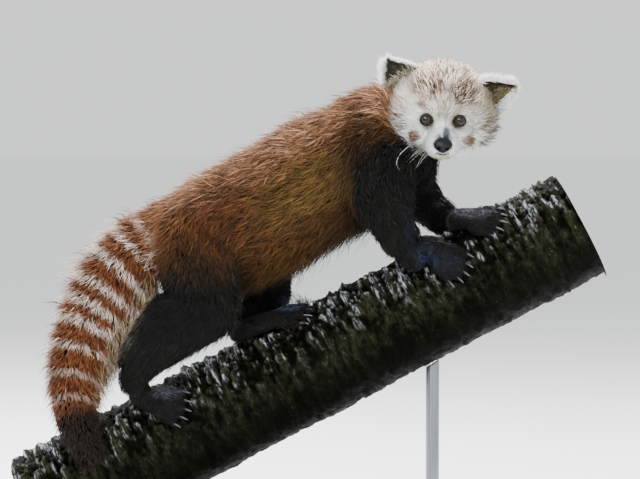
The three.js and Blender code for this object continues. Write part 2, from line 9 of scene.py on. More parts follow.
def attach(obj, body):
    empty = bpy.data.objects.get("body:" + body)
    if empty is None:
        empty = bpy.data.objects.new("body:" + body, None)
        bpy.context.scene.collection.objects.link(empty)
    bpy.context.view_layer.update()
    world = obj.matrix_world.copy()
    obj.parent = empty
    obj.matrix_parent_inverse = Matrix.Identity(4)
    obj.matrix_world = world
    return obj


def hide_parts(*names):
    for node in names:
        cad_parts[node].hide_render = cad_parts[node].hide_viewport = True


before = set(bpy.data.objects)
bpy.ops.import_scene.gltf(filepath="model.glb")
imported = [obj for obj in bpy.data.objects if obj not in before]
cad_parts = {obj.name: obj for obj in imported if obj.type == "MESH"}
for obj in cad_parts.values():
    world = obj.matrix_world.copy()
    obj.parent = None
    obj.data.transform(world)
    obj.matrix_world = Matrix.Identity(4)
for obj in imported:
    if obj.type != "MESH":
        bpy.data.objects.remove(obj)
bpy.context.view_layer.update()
rng = np.random.default_rng(20)
MM = 0.001


def unit(v):
    return v / np.maximum(np.linalg.norm(v, axis=-1, keepdims=True), 1e-9)


def smooth(low, high, x):
    t = np.clip((x - low) / (high - low), 0, 1)
    return t * t * (3 - 2 * t)


def mix(a, b, t):
    return a + (b - a) * t


def turns(count):
    """Angles spread evenly round a circle."""
    return np.arange(count) / count * 2 * np.pi


# Large odd numbers that scramble a place on a grid into one that looks random.
SCRAMBLE = (374761393, 668265263, 2147483647, 974634777)
ROUNDS = ((13, 1274126177), (16, 2246822519))
LOW_32, LOW_24 = 0xFFFFFFFF, 0xFFFFFF


def lattice(ix, iy, iz, seed):
    """A repeatable number from 0 to 1 at each point of a whole-number grid."""
    n = sum(k * number for k, number in zip((ix, iy, iz, seed), SCRAMBLE)) & LOW_32
    for shift, number in ROUNDS:
        n = ((n ^ (n >> shift)) * number) & LOW_32
    return ((n ^ (n >> 15)) & LOW_24) / float(LOW_24)


def noise(p, size, seed=0):
    """Smooth noise from -1 to 1 with features of the given size, at points p."""
    q = np.asarray(p) / size
    whole = np.floor(q).astype(np.int64)
    part = q - whole
    part = part * part * (3 - 2 * part)
    total = 0
    for corner in range(8):
        step = np.array([corner & 1, corner >> 1 & 1, corner >> 2 & 1])
        weight = np.prod(np.where(step, part, 1 - part), axis=-1)
        total = total + weight * lattice(*(whole + step).T.astype(np.int64), seed)
    return total * 2 - 1


def noises(p, size, seed=0, octaves=3):
    return sum(noise(p, size / 2**k, seed + 17 * k) * 0.55**k for k in range(octaves))


def colour(value):
    """A #rrggbb colour as linear light. A grey or three numbers are linear light already."""
    if not isinstance(value, str):
        return np.broadcast_to(value, 3)
    c = np.array([int(value[i : i + 2], 16) / 255 for i in (1, 3, 5)])
    return np.where(c <= 0.04045, c / 12.92, ((c + 0.055) / 1.055) ** 2.4)


class Limb:
    """Stations along a spine, each [x, y, z, half-width, height over it, depth under it], out to
    the tips of the coat. skin is the coat's depth as a share of the half size."""

    def __init__(self, name, stations, skin, across=(0, 1, 0)):
        self.name = name
        self.table = np.array([s if len(s) == 6 else (*s, s[4]) for s in stations], float)
        self.skin = skin
        self.across = np.array(across, float)
        self.t = np.linspace(0, 1, 49)
        self.middle = self.at(self.t)[:, :3]
        self.size = self.at(self.t)[:, 3:]
        self.along = unit(self.at(self.t + 0.01)[:, :3] - self.at(self.t - 0.01)[:, :3])

    def at(self, t):
        n = len(self.table) - 1
        t = np.asarray(t, float) * n
        k = np.clip(np.floor(t).astype(int), 0, n - 1)
        u = (t - k)[:, None]
        ends = [2 * self.table[0] - self.table[1], 2 * self.table[-1] - self.table[-2]]
        rows = np.vstack([ends[0], self.table, ends[1]])
        a, b, c, d = (rows[k + step] for step in range(4))
        square, cube = 2 * a - 5 * b + 4 * c - d, 3 * b - a - 3 * c + d
        return 0.5 * (2 * b + (c - a) * u + square * u**2 + cube * u**3)

    def shell(self, sides, rings, domes=(0.5, 0.5)):
        """The skin as rings of points: the outline drawn in by the coat, with domed ends."""
        loops = []
        shrink = [(math.sqrt(1 - k * k), k) for k in (0.95, 0.8, 0.55, 0.3)]
        plan = [(0.0, s, -k * domes[0]) for s, k in shrink]
        plan += [(t, 1.0, 0.0) for t in np.linspace(0, 1, rings)]
        plan += [(1.0, s, k * domes[1]) for s, k in reversed(shrink)]
        for t, s, push in plan:
            row = self.at([t])[0]
            along = unit(self.at([t + 0.01])[0, :3] - self.at([t - 0.01])[0, :3])
            side = unit(self.across - self.across.dot(along) * along)
            up = np.cross(side, along)
            inset = self.skin * (2 * row[3] + row[4] + row[5]) / 4
            size = row[3:] - inset
            centre = row[:3] + along * push * size.mean()
            angle = turns(sides)
            high = np.where(np.sin(angle) > 0, size[1], size[2]) * np.sin(angle)
            loops.append(centre + s * (size[0] * np.cos(angle)[:, None] * side + high[:, None] * up))
        return closed_rings(loops)


def closed_rings(loops):
    """Vertices and faces of a tube of rings, closed by a fan at both ends."""
    sides = len(loops[0])
    verts = np.vstack(loops + [loops[0].mean(0, keepdims=True), loops[-1].mean(0, keepdims=True)])
    faces = []
    i = np.arange(sides)
    j = (i + 1) % sides
    for r in range(len(loops) - 1):
        a, b = r * sides, (r + 1) * sides
        faces.append(np.stack([a + i, a + j, b + j], 1))
        faces.append(np.stack([a + i, b + j, b + i], 1))
    end = (len(loops) - 1) * sides
    faces.append(np.stack([j, i, np.full(sides, len(verts) - 2)], 1))
    faces.append(np.stack([end + i, end + j, np.full(sides, len(verts) - 1)], 1))
    return verts, np.vstack(faces)


TORSO = Limb("torso", [
    (152, 0, 600, 46, 50, 58), (126, 0, 599, 62, 72, 76), (92, 0, 590, 72, 84, 84),
    (46, 0, 572, 78, 89, 88), (-4, 0, 547, 80, 87, 90), (-58, 0, 521, 79, 82, 98),
    (-112, 0, 496, 76, 77, 92), (-156, 0, 480, 64, 62, 66), (-186, 0, 470, 42, 40, 42),
], 0.24)
NECK = Limb("neck", [
    (192, -14, 650, 36, 46), (160, -3, 640, 45, 62), (126, 0, 620, 58, 80, 74), (92, 0, 600, 62, 85, 74),
], 0.3)
TAIL = Limb("tail", [
    (-172, 0, 500, 40, 46), (-196, 0, 488, 48, 50, 54), (-224, 0, 466, 53, 51, 62),
    (-258, -6, 417, 58, 56, 70), (-282, -16, 364, 52, 52, 60), (-293, -30, 317, 46, 46, 48),
    (-296, -46, 277, 38, 39), (-288, -62, 238, 31, 32), (-274, -75, 205, 22, 24),
], 0.6)
# Each leg: its upper and lower part, and its paw's place along the log and round it, where it
# points, in degrees, its length and where its wrist starts.
LEGS = {
    "hind_right": (
        [(-128, -36, 482, 34, 58, 56), (-124, -54, 434, 34, 60, 50), (-112, -61, 398, 27, 42, 38)],
        [(-112, -61, 398, 27, 42, 38), (-150, -63, 378, 28, 50, 42), (-178, -64, 354, 25, 44, 34),
         (-205, -63, 330, 20, 32, 28), (-217, -62, 306, 17, 23, 22), (-219, -62, 292, 16, 18, 18)],
        dict(s=-181, angle=46, heading=42, length=38, hind=True, start=(-220, -62, 306)),
    ),
    "hind_left": (
        [(-112, 36, 480, 34, 54), (-66, 52, 441, 31, 44), (-36, 50, 416, 25, 31)],
        [(-38, 50, 418, 23, 29), (-54, 36, 388, 21, 27), (-72, 16, 367, 17, 19), (-74, 8, 360, 16, 17)],
        dict(s=-9, angle=17, heading=12, length=76, hind=True, start=(-74, 4, 362)),
    ),
    "fore_right": (
        [(96, -44, 590, 31, 52), (108, -57, 540, 29, 42), (120, -62, 508, 24, 31)],
        [(119, -62, 511, 23, 30), (131, -64, 488, 20, 26), (144, -65, 468, 17, 20), (152, -66, 458, 16, 17)],
        dict(s=236, angle=48, heading=62, length=36, hind=False, start=(146, -65, 470)),
    ),
    "fore_left": (
        [(124, 42, 584, 31, 48), (150, 54, 548, 27, 37), (171, 50, 524, 22, 28)],
        [(170, 51, 526, 21, 27), (193, 36, 507, 18, 21), (211, 20, 499, 16, 17), (222, 10, 495, 15, 15)],
        dict(s=294, angle=25, heading=36, length=42, hind=False, start=(211, 18, 499)),
    ),
}

# The log's own frame.
SLOPE = math.radians(27.7)
LOG_UP = np.array([math.cos(SLOPE), 0, math.sin(SLOPE)])
LOG_NORMAL = np.array([-math.sin(SLOPE), 0, math.cos(SLOPE)])
LOG_ORIGIN = np.array([0, 0, 307.0])
LOG_RADIUS = 73.0
LOG_ENDS = (-398.0, 420.0)


def on_log(s, angle, height):
    """s along the log, an angle from its top towards -Y, and a height over its bark."""
    out = np.cos(angle)[..., None] * LOG_NORMAL - np.sin(angle)[..., None] * np.array([0, 1.0, 0])
    out = out * (LOG_RADIUS + np.asarray(height)[..., None])
    return LOG_ORIGIN + np.asarray(s)[..., None] * LOG_UP + out


def from_log_axis(p):
    q = p - LOG_ORIGIN
    return np.hypot(q[:, 1], q @ LOG_NORMAL)


def paw_parts(name, paw):
    """The palm, toes and claws of a paw as limbs bent round the log."""
    turn, first = math.radians(paw["heading"]), math.radians(paw["angle"])

    def at(x, y, height):
        across = x * math.sin(turn) + y * math.cos(turn)
        along = paw["s"] + x * math.cos(turn) - y * math.sin(turn)
        return on_log(np.array(along), np.array(first + across / LOG_RADIUS), np.array(height))

    def limb(rows, skin, *start):
        return Limb(name, [*start, *[(*at(x, y, height), *size) for x, y, height, *size in rows]], skin, side)

    side = unit(at(0, -1, 10) - at(0, 1, 10))
    front = paw["length"] / 2
    wrist = 16 if paw["hind"] else 17
    pads = [(-front, 0, 14, 17, 14), (0, 0, 12, 20, 12), (front - 8, 0, 10, 21, 10)]
    palm = limb(pads, 0.1, (*paw["start"], wrist, wrist))
    toes, claws = [], []
    for toe in (-2, -1, 0, 1, 2):
        reach, y = front + 14 - 2.2 * toe * toe, toe * 8.6
        toes.append(limb([
            (reach - 20, y, 9, 5.6, 8), (reach - 6, y * 1.12, 8, 4.9, 7), (reach + 3, y * 1.2, 5.5, 4.3, 5.4),
        ], 0.06))
        claws.append(limb([
            (reach - 2, y * 1.2, 6.5, 1.5, 2.1), (reach + 5, y * 1.25, 7.0, 1.3, 1.8),
            (reach + 10, y * 1.3, 5.4, 0.9, 1.3), (reach + 13.5, y * 1.36, 2.8, 0.3, 0.5),
        ], 0))
    return palm, toes, claws


# The head's own frame.
HEAD_CENTRE = (187, -25, 657)
HEAD_ROLL, HEAD_PITCH = math.radians(2), math.radians(3)
HEAD = (
    Matrix.Translation(HEAD_CENTRE)
    @ Matrix.Rotation(HEAD_ROLL, 4, "Y")
    @ Matrix.Rotation(HEAD_PITCH, 4, "X")
    @ Matrix.Diagonal((1, -1, 1, 1))
)
HEAD_NP, HEAD_BACK = np.array(HEAD), np.array(HEAD.inverted())


def from_head(p):
    """x to the animal's left, y out through the face and z up, to the model's frame."""
    return np.asarray(p, float) @ HEAD_NP[:3, :3].T + HEAD_NP[:3, 3]


def to_head(p):
    return np.asarray(p, float) @ HEAD_BACK[:3, :3].T + HEAD_BACK[:3, 3]


def head_way(v):
    return np.asarray(v, float) @ HEAD_NP[:3, :3].T


EYE = np.array([22.0, 42.0, -13.2])
EYE_RADIUS = 8.6
NOSE_HEIGHT = -44.0


def pair(centre, size, coat):
    return [(centre, size, coat), ((-centre[0], centre[1], centre[2]), size, coat)]


# Each mass of the head: its centre, its radii out to the fur, and the depth of the fur on it.
HEAD_MASSES = [
    ((0, -8, 10), (60, 54, 53), 9), ((0, 16, 8), (42, 29, 34), 6),
    *pair((35, 0, -17), (33, 36, 33), 11), *pair((22, 18, -35), (21, 24, 19), 7),
    ((0, 34, -20), (13, 26, 17), 3), ((0, 44, -40), (19, 26, 17), 2.5),
    *pair((10, 51, -46), (12, 17, 12), 2.2), ((0, 42, -54), (14, 20, 9), 3),
]
BLEND = 4.0
BALL_CENTRE, BALL_REACH = (0, 4, -6), 110.0


def head_field(p, skin):
    """Distance from the blended masses of the head, and the coat's depth there."""
    total, depth = 0, 0
    for centre, size, coat in HEAD_MASSES:
        size = np.array(size, float) - (coat if skin else 0)
        q = p - np.array(centre, float)
        near = np.linalg.norm(q / size, axis=-1)
        steep = np.maximum(np.linalg.norm(q / size**2, axis=-1), 1e-6)
        w = np.exp(-near * (near - 1) / steep / BLEND)
        total = total + w
        depth = depth + w * coat
    return -BLEND * np.log(total), depth / total


def head_shell(around=150, up=110):
    """The head pushed out from a ball to its blended masses."""
    turn = turns(around)
    loops = []
    for a in np.linspace(0.02, np.pi - 0.02, up):
        ray = np.stack([np.sin(a) * np.cos(turn), np.sin(a) * np.sin(turn), np.full(around, np.cos(a))], 1)
        reach = np.full(around, BALL_REACH)
        for _ in range(40):
            reach -= 0.7 * head_field(ray * reach[:, None] + BALL_CENTRE, True)[0]
        loops.append(from_head(ray * reach[:, None] + BALL_CENTRE))
    return closed_rings(loops)


def make_object(name, verts, faces, material=None):
    """A smooth-shaded mesh object from millimetre vertices and rows of face corners."""
    mesh = bpy.data.meshes.new(name)
    verts = np.ascontiguousarray(np.asarray(verts, np.float32) * MM)
    faces = np.ascontiguousarray(faces, np.int32)
    mesh.vertices.add(len(verts))
    mesh.vertices.foreach_set("co", verts.ravel())
    mesh.loops.add(faces.size)
    mesh.loops.foreach_set("vertex_index", faces.ravel())
    mesh.polygons.add(len(faces))
    mesh.polygons.foreach_set("loop_start", np.arange(len(faces), dtype=np.int32) * faces.shape[1])
    mesh.polygons.foreach_set("use_smooth", np.ones(len(faces), bool))
    mesh.update(calc_edges=True)
    mesh.validate()
    obj = bpy.data.objects.new(name, mesh)
    bpy.context.scene.collection.objects.link(obj)
    if material:
        mesh.materials.append(material)
    return obj


def dress(obj, slot_name, *replaced):
    """The piece rides on the model's one body and takes the place of CAD nodes. slot_name is not used."""
    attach(obj, "root")
    if replaced:
        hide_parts(*replaced)


LAYERS = {
    "number": ("FLOAT", "value"),
    "vector": ("FLOAT_VECTOR", "vector"),
    "colour": ("FLOAT_COLOR", "color"),
}


def add_layer(mesh, kind, name, values):
    """A number, a vector or a colour at each vertex, for the materials."""
    data_type, field = LAYERS[kind]
    values = np.asarray(values, np.float32)
    if kind == "colour":
        values = np.column_stack([values, np.ones(len(values), np.float32)])
    mesh.attributes.new(name, data_type, "POINT").data.foreach_set(field, values.ravel())


def read_mesh(rows, field, width, kind=np.float32):
    """One field of a mesh's rows as an array."""
    values = np.empty(len(rows) * width, kind)
    rows.foreach_get(field, values)
    return values.reshape(-1, width)


def points_of(obj):
    return read_mesh(obj.data.vertices, "co", 3).astype(float) / MM


def joined(parts):
    verts, faces, start = [], [], 0
    for v, f in parts:
        verts.append(v)
        faces.append(f + start)
        start += len(v)
    return np.vstack(verts), np.vstack(faces)


class Paint:
    """A procedural material, built up node by node."""

    def __init__(self, name, **settings):
        self.material = bpy.data.materials.new(name)
        self.material.use_nodes = True
        self.tree = self.material.node_tree
        self.shader = self.tree.nodes["Principled BSDF"]
        for key, value in settings.items():
            self.shader.inputs[key.replace("_", " ")].default_value = value

    def node(self, kind, vector=None, **settings):
        made = self.tree.nodes.new("ShaderNode" + kind)
        for key, value in settings.items():
            if hasattr(made, key):
                setattr(made, key, value)
            else:
                made.inputs[key].default_value = value
        if vector is not None:
            self.tree.links.new(vector, made.inputs["Vector"])
        return made

    def attribute(self, name, output="Fac"):
        return self.node("Attribute", attribute_name=name).outputs[output]

    def place(self):
        return self.node("TexCoord").outputs["Object"]

    def stretched(self, *scale):
        return self.node("Mapping", self.place(), Scale=scale).outputs[0]

    def noise(self, vector, scale, detail=2.0, roughness=0.5, **more):
        made = self.node("TexNoise", vector, Scale=scale, Detail=detail, Roughness=roughness, **more)
        return made.outputs["Fac"]

    def ramp(self, fac, *stops):
        made = self.node("ValToRGB")
        elements = made.color_ramp.elements
        while len(elements) < len(stops):
            elements.new(0.5)
        for element, (position, value) in zip(elements, stops):
            element.position = position
            element.color = (*colour(value), 1)
        self.tree.links.new(fac, made.inputs["Fac"])
        return made.outputs["Color"]

    def blend(self, fac, a, b, kind="MIX"):
        made = self.node("Mix", data_type="RGBA", blend_type=kind)
        for socket, value in ((made.inputs[0], fac), (made.inputs[6], a), (made.inputs[7], b)):
            if isinstance(value, bpy.types.NodeSocket):
                self.tree.links.new(value, socket)
            else:
                socket.default_value = (*colour(value), 1) if isinstance(value, str) else value
        return made.outputs[2]

    def multiply(self, a, b):
        return self.blend(1.0, a, b, "MULTIPLY")

    def into(self, socket, source):
        self.tree.links.new(source, self.shader.inputs[socket])

    def bump(self, height, strength, distance):
        made = self.node("Bump", Strength=strength, Distance=distance)
        self.tree.links.new(height, made.inputs["Height"])
        self.into("Normal", made.outputs[0])


def fur_material(name, skin=False):
    """The coat's colour from an attribute, darker at the roots of the tufts as painted shade between them,
    finely varied.
    """
    paint = Paint(name, Roughness=0.62, Specular_IOR_Level=0.12, Sheen_Weight=0.02, Sheen_Roughness=0.4)
    place = paint.place()
    tip, speck = paint.attribute("tip"), paint.noise(place, 900.0, 3.0, 0.6)
    # Painted shade: the roots of the tufts are darkened where the tufts shade each other.
    shade = paint.ramp(tip, (0.0, (0.32, 0.29, 0.27)), (0.45, (0.74, 0.72, 0.7)), (1.0, (1.16, 1.14, 1.12)))
    speckled = paint.ramp(speck, (0.25, (0.78, 0.78, 0.8)), (0.75, (1.18, 1.16, 1.12)))
    graded = paint.multiply(paint.attribute("coat", "Color"), shade)
    paint.into("Base Color", paint.multiply(graded, speckled))
    if skin:
        paint.bump(paint.noise(place, 420.0, 4.0, 0.7), 0.6, 0.002)
    return paint.material


def bark_material():
    """Near-black fibres that run round the trunk, with painted highlights on the crests of its upper side and
    painted shade in its grooves and on its underside.
    """
    paint = Paint("wet_bark", Specular_IOR_Level=0.02)
    place = paint.place()
    fibre = paint.noise(paint.attribute("drum", "Vector"), 1.0, 6.0, 0.68)
    base = paint.ramp(fibre, (0.36, "#090906"), (0.52, "#1a1a12"), (0.66, "#2b2c1e"), (0.82, "#4a4b3c"))
    moss = paint.ramp(paint.noise(place, 24.0, 4.0, 0.6), (0.42, 0), (0.68, 0.5))
    lichen = paint.ramp(paint.noise(place, 330.0), (0.66, 0), (0.74, 0.55))
    dotted = paint.blend(lichen, paint.blend(moss, base, "#161b0b"), "#555c44")
    # Painted light and shade: the crests lighter, the grooves and the underside darker.
    painted_relief_light = paint.ramp(paint.attribute("ridge_light_and_shade"), (0.0, 0.12), (0.3, 0.5), (0.6, 1.0), (0.95, 1.6))
    strand = paint.ramp(fibre, (0.46, 0), (0.56, 1))
    # Painted glints: pale blue-grey streaks on the crests of the upper side.
    pale = paint.node("Math", operation="MULTIPLY")
    for socket, source in zip(pale.inputs, (paint.attribute("painted_glint"), strand)):
        paint.tree.links.new(source, socket)
    paint.into("Base Color", paint.blend(pale.outputs[0], paint.multiply(dotted, painted_relief_light), "#9ea2ab"))
    paint.into("Roughness", paint.ramp(fibre, (0.3, 0.42), (0.8, 0.7)))
    paint.bump(fibre, 0.9, 0.0025)
    return paint.material


def board_material():
    paint = Paint("stained_board", Roughness=0.38, Coat_Weight=0.25, Coat_Roughness=0.2)
    grain = paint.noise(paint.stretched(1.2, 16.0, 16.0), 6.0, 9.0, 0.62, Distortion=0.6)
    tone = paint.ramp(grain, (0.3, "#1d1612"), (0.5, "#33261e"), (0.65, "#45342a"), (0.8, "#2a1f19"))
    paint.into("Base Color", tone)
    paint.bump(grain, 0.15, 0.001)
    return paint.material


def rod_material():
    paint = Paint("brushed_rod", Metallic=1.0, Roughness=0.3)
    grain = paint.noise(paint.stretched(900.0, 900.0, 12.0), 1.0, 5.0, 0.6)
    paint.into("Base Color", paint.ramp(grain, (0.3, "#5d6064"), (0.7, "#8b8e92")))
    paint.into("Roughness", paint.ramp(grain, (0.3, 0.22), (0.7, 0.4)))
    return paint.material


def eye_material():
    """A dark brown iris round a black pupil, by the angle from the gaze."""
    paint = Paint("eye_glass", Roughness=0.12, Coat_Weight=0.28, Coat_Roughness=0.02, Specular_IOR_Level=0.16)
    iris = paint.ramp(
        paint.attribute("gaze"), (0.0, "#060403"), (0.15, "#0b0705"), (0.25, "#20160e"),
        (0.36, "#2b2015"), (0.45, "#140e09"), (0.54, "#060403"),
    )
    fibre = paint.ramp(paint.attribute("streak"), (0.0, 0.6), (1.0, (1.35, 1.3, 1.25)))
    paint.into("Base Color", paint.multiply(iris, fibre))
    return paint.material


def moist_material(name, dark, light, gloss):
    """Bare black skin with fine cells."""
    paint = Paint(name, Roughness=0.42, Specular_IOR_Level=gloss, Coat_Weight=gloss / 3, Coat_Roughness=0.2)
    cell = paint.node("TexVoronoi", paint.place(), Scale=900.0).outputs["Distance"]
    paint.into("Base Color", paint.ramp(cell, (0.1, light), (0.6, dark)))
    paint.bump(cell, 0.35, 0.0006)
    return paint.material


def claw_material():
    paint = Paint("horn_claw", Roughness=0.3)
    tone = paint.ramp(paint.attribute("tip"), (0.0, "#17171a"), (0.5, "#33353b"), (1.0, "#61656d"))
    vary = paint.ramp(paint.noise(paint.place(), 500.0, 3.0), (0.3, 0.8), (0.7, 1.1))
    paint.into("Base Color", paint.multiply(tone, vary))
    return paint.material


def whisker_material():
    paint = Paint("whisker", Roughness=0.35)
    tone = paint.ramp(paint.noise(paint.place(), 300.0), (0.3, "#d8dadb"), (0.7, "#f6f6f6"))
    paint.into("Base Color", tone)
    return paint.material


# The skin: shells of all the limbs and the head, melted into one.
VOXEL = 2.4
UPPER_COAT, LOWER_COAT = 0.24, 0.2
uppers, lowers, palms, toes, claws = [], [], [], [], []
for name, (upper, lower, paw) in LEGS.items():
    uppers.append(Limb(name + "_upper", upper, UPPER_COAT))
    lowers.append(Limb(name + "_lower", lower, LOWER_COAT))
    palm, digits, nails = paw_parts(name + "_paw", paw)
    palms.append(palm)
    toes += digits
    claws += nails

shells = [TORSO.shell(72, 60, (0.6, 0.6)), NECK.shell(60, 24), TAIL.shell(40, 90, (0.5, 0.9))]
shells += [limb.shell(40, 30, (0.6, 0.6)) for limb in uppers + lowers]
shells += [palm.shell(32, 20, (0.7, 0.5)) for palm in palms]
shells += [toe.shell(16, 12, (0.3, 0.8)) for toe in toes]
shells.append(head_shell())
lump = make_object("skin_lump", *joined(shells))
remesh = lump.modifiers.new("one", "REMESH")
remesh.mode = "VOXEL"
remesh.voxel_size = VOXEL * MM
skin_mesh = bpy.data.meshes.new_from_object(lump.evaluated_get(bpy.context.evaluated_depsgraph_get()))
bpy.data.objects.remove(lump)
skin = bpy.data.objects.new("panda_skin", skin_mesh)
bpy.context.scene.collection.objects.link(skin)


def relax(obj, rounds, keep):
    """Smooths the seams between the limbs. keep is each vertex's share of its own place."""
    mesh = obj.data
    edges = read_mesh(mesh.edges, "vertices", 2, np.int32)
    a, b = edges.T
    p = points_of(obj)
    count = np.bincount(edges.ravel(), minlength=len(p))[:, None]
    for _ in range(rounds):
        total = [np.bincount(a, p[b, k], len(p)) + np.bincount(b, p[a, k], len(p)) for k in range(3)]
        p = mix(np.stack(total, 1) / count, p, keep[:, None])
    mesh.vertices.foreach_set("co", (p * MM).astype(np.float32).ravel())
    mesh.update()
    return p


ALL_LIMBS = [TORSO, NECK, TAIL] + uppers + lowers + palms
LIMB_NAMES = [limb.name for limb in ALL_LIMBS]


def nearest_limbs(p):
    """For each limb: its weight at each place, its direction there and how far along it that is."""
    weights, ways, along = [], [], []
    step = slice(None, None, 3)
    for limb in ALL_LIMBS:
        radius = limb.size[step].mean(1)
        gap = np.linalg.norm(p[:, None, :] - limb.middle[step][None], axis=2) / radius[None]
        best = gap.argmin(1)
        near = gap[np.arange(len(p)), best]
        weights.append(np.exp(-5.0 * near**2))
        ways.append(limb.along[step][best])
        along.append(limb.t[step][best])
    return np.array(weights), np.array(ways), np.array(along)


def shares_of(weights):
    total = weights.sum(0)
    return {name: weights[k] / total for k, name in enumerate(LIMB_NAMES)}


# The face and the paws keep their shape, and the rest is smoothed.
raw = points_of(skin)
head_near = np.linalg.norm(to_head(raw) / (66, 62, 60), axis=1)
face = smooth(-10, 25, to_head(raw)[:, 1]) * (head_near < 1.6)
paw_near = [np.linalg.norm(raw[:, None] - palm.middle[None, ::8], axis=2).min(1) for palm in palms]
keep = np.clip(np.maximum(0.85 * face, 0.75 * (np.min(paw_near, axis=0) < 42)), 0.1, 0.9)
skin_points = relax(skin, 14, keep)
skin_mesh.polygons.foreach_set("use_smooth", np.ones(len(skin_mesh.polygons), bool))

# Markings, with painted sheen and painted rim light.
RUST, RUST_DEEP, GOLD = colour("#825a3f"), "#4b3315", "#5d4824"
BLACK, BROWN = colour("#0a0a09"), "#261c10"
CREAM, WHITE = "#eae9e1", "#f4f9fc"
RING_PALE, RING_RUST, TIP_DARK = "#ddcdc2", colour("#6f4227"), "#231c17"
TEAR, STREAK, BROW = "#7d4609", "#33211a", "#977350"
# Where each pale ring lies along the tail, and how pale it is.
TAIL_RINGS = [
    (0.15, 0.45), (0.232, 0.8), (0.31, 1), (0.382, 1), (0.438, 1), (0.496, 1), (0.578, 0.85), (0.68, 0.5),
    (0.77, 0.35),
]
# Painted sheen: cool light painted into the coat on the tops of the paws: colour, where, how large and how
# strong.
PAINTED_PAW_SHEEN = [
    ("#27314c", (166, -80, 462), (20, 34, 26), 0.85), ("#22293a", (196, -74, 456), (18, 34, 24), 0.6),
    ("#6b6879", (228, -24, 520), (34, 40, 12), 0.8), ("#485470", (-12, -24, 399), (32, 34, 12), 0.85),
    ("#5a5f6b", (-172, -66, 288), (28, 36, 13), 0.8), ("#1c2233", (144, -84, 500), (10, 30, 44), 0.7),
]
# Places of marks in the head's frame, each a centre and radii. The dark bridge above the nose is
# a narrow stem, a wide foot and a small spot beside them.
BRIDGE = [
    ((4, 60, -29), (4.8, 22, 9)), ((1.2, 64, -37), (10.5, 22, 6.5)), ((-6.2, 58, -33.5), (3.2, 20, 3.2)),
]
TEARS = [((-38.0, 30, -36), (5.4, 28, 8.2)), ((37.4, 30, -39.5), (5.6, 28, 9))]
BROWS = [((-24, 38, 31), (21, 38, 16)), ((29, 38, 25), (21, 38, 16))]
LID_MARK = ((-29, 42, 7), (6, 20, 3.5))
TEAR_EDGES = (0.25, 0.3)
# The marks in the order they are laid: colour, place, softness of the edge, strength, and the
# tufts that take it, from none at one jitter to all at another.
ALL_TUFTS = (-3, -2)
BROW_MARKS = [
    ("#8f8266", ((2, 44, 16), (34, 28, 24)), 0.6, 0.85, (0.0, -0.4)),
    (BROW, BROWS[0], 0.45, 0.8, (0.45, 0.25)), (STREAK, BROWS[0], 0.45, 0.95, (0.18, 0.0)),
    (BROW, BROWS[1], 0.45, 0.8, (0.45, 0.25)), (STREAK, BROWS[1], 0.45, 0.95, (0.18, 0.0)),
    ("#8a6c54", ((66, 4, -14), (13, 40, 26)), 0.5, 0.8, (0.15, -0.35)),
]
FACE_MARKS = [
    ("#8a5a3a", LID_MARK, 0.5, 0.85, ALL_TUFTS),
    ("#aaa08a", ((1.5, 48, 0), (10, 26, 17)), 0.5, 0.9, (0.6, -0.4)),
    *[(TEAR, tear, edge, 1.0, ALL_TUFTS) for tear, edge in zip(TEARS, TEAR_EDGES)],
    *[(STREAK, tear, edge, 0.8, (-0.05, -0.4)) for tear, edge in zip(TEARS, TEAR_EDGES)],
]
MUZZLE_MARKS = [
    ("#7d7256", ((30, 36, -54), (9, 26, 6)), 0.5, 0.75, (0.5, -0.3)),
    ("#f1f8fd", ((8, 52, -38), (25, 36, 24)), 0.6, 0.9, ALL_TUFTS),
]
NOSE_MARKS = [
    ("#434e5a", BRIDGE[0], 0.45, 0.92, ALL_TUFTS), ("#272d33", BRIDGE[1], 0.4, 0.95, ALL_TUFTS),
    ("#566473", BRIDGE[2], 0.4, 0.9, ALL_TUFTS),
]


def blend_in(base, new, weight):
    return mix(base, colour(new) if isinstance(new, str) else new, np.asarray(weight)[:, None])


def nearness(p, centre, size, inner, outer):
    """1 within an ellipsoid and 0 outside it, fading between two multiples of its radii."""
    return 1 - smooth(inner, outer, np.linalg.norm((p - centre) / size, axis=1))


def patch(q, centre, size, soft=0.35):
    return nearness(q, centre, size, 1 - soft, 1 + soft)


def lay_marks(made, marks, q, jitter):
    for tone, place, soft, strength, takes in marks:
        made = blend_in(made, tone, patch(q, *place, soft) * smooth(*takes, jitter) * strength)
    return made


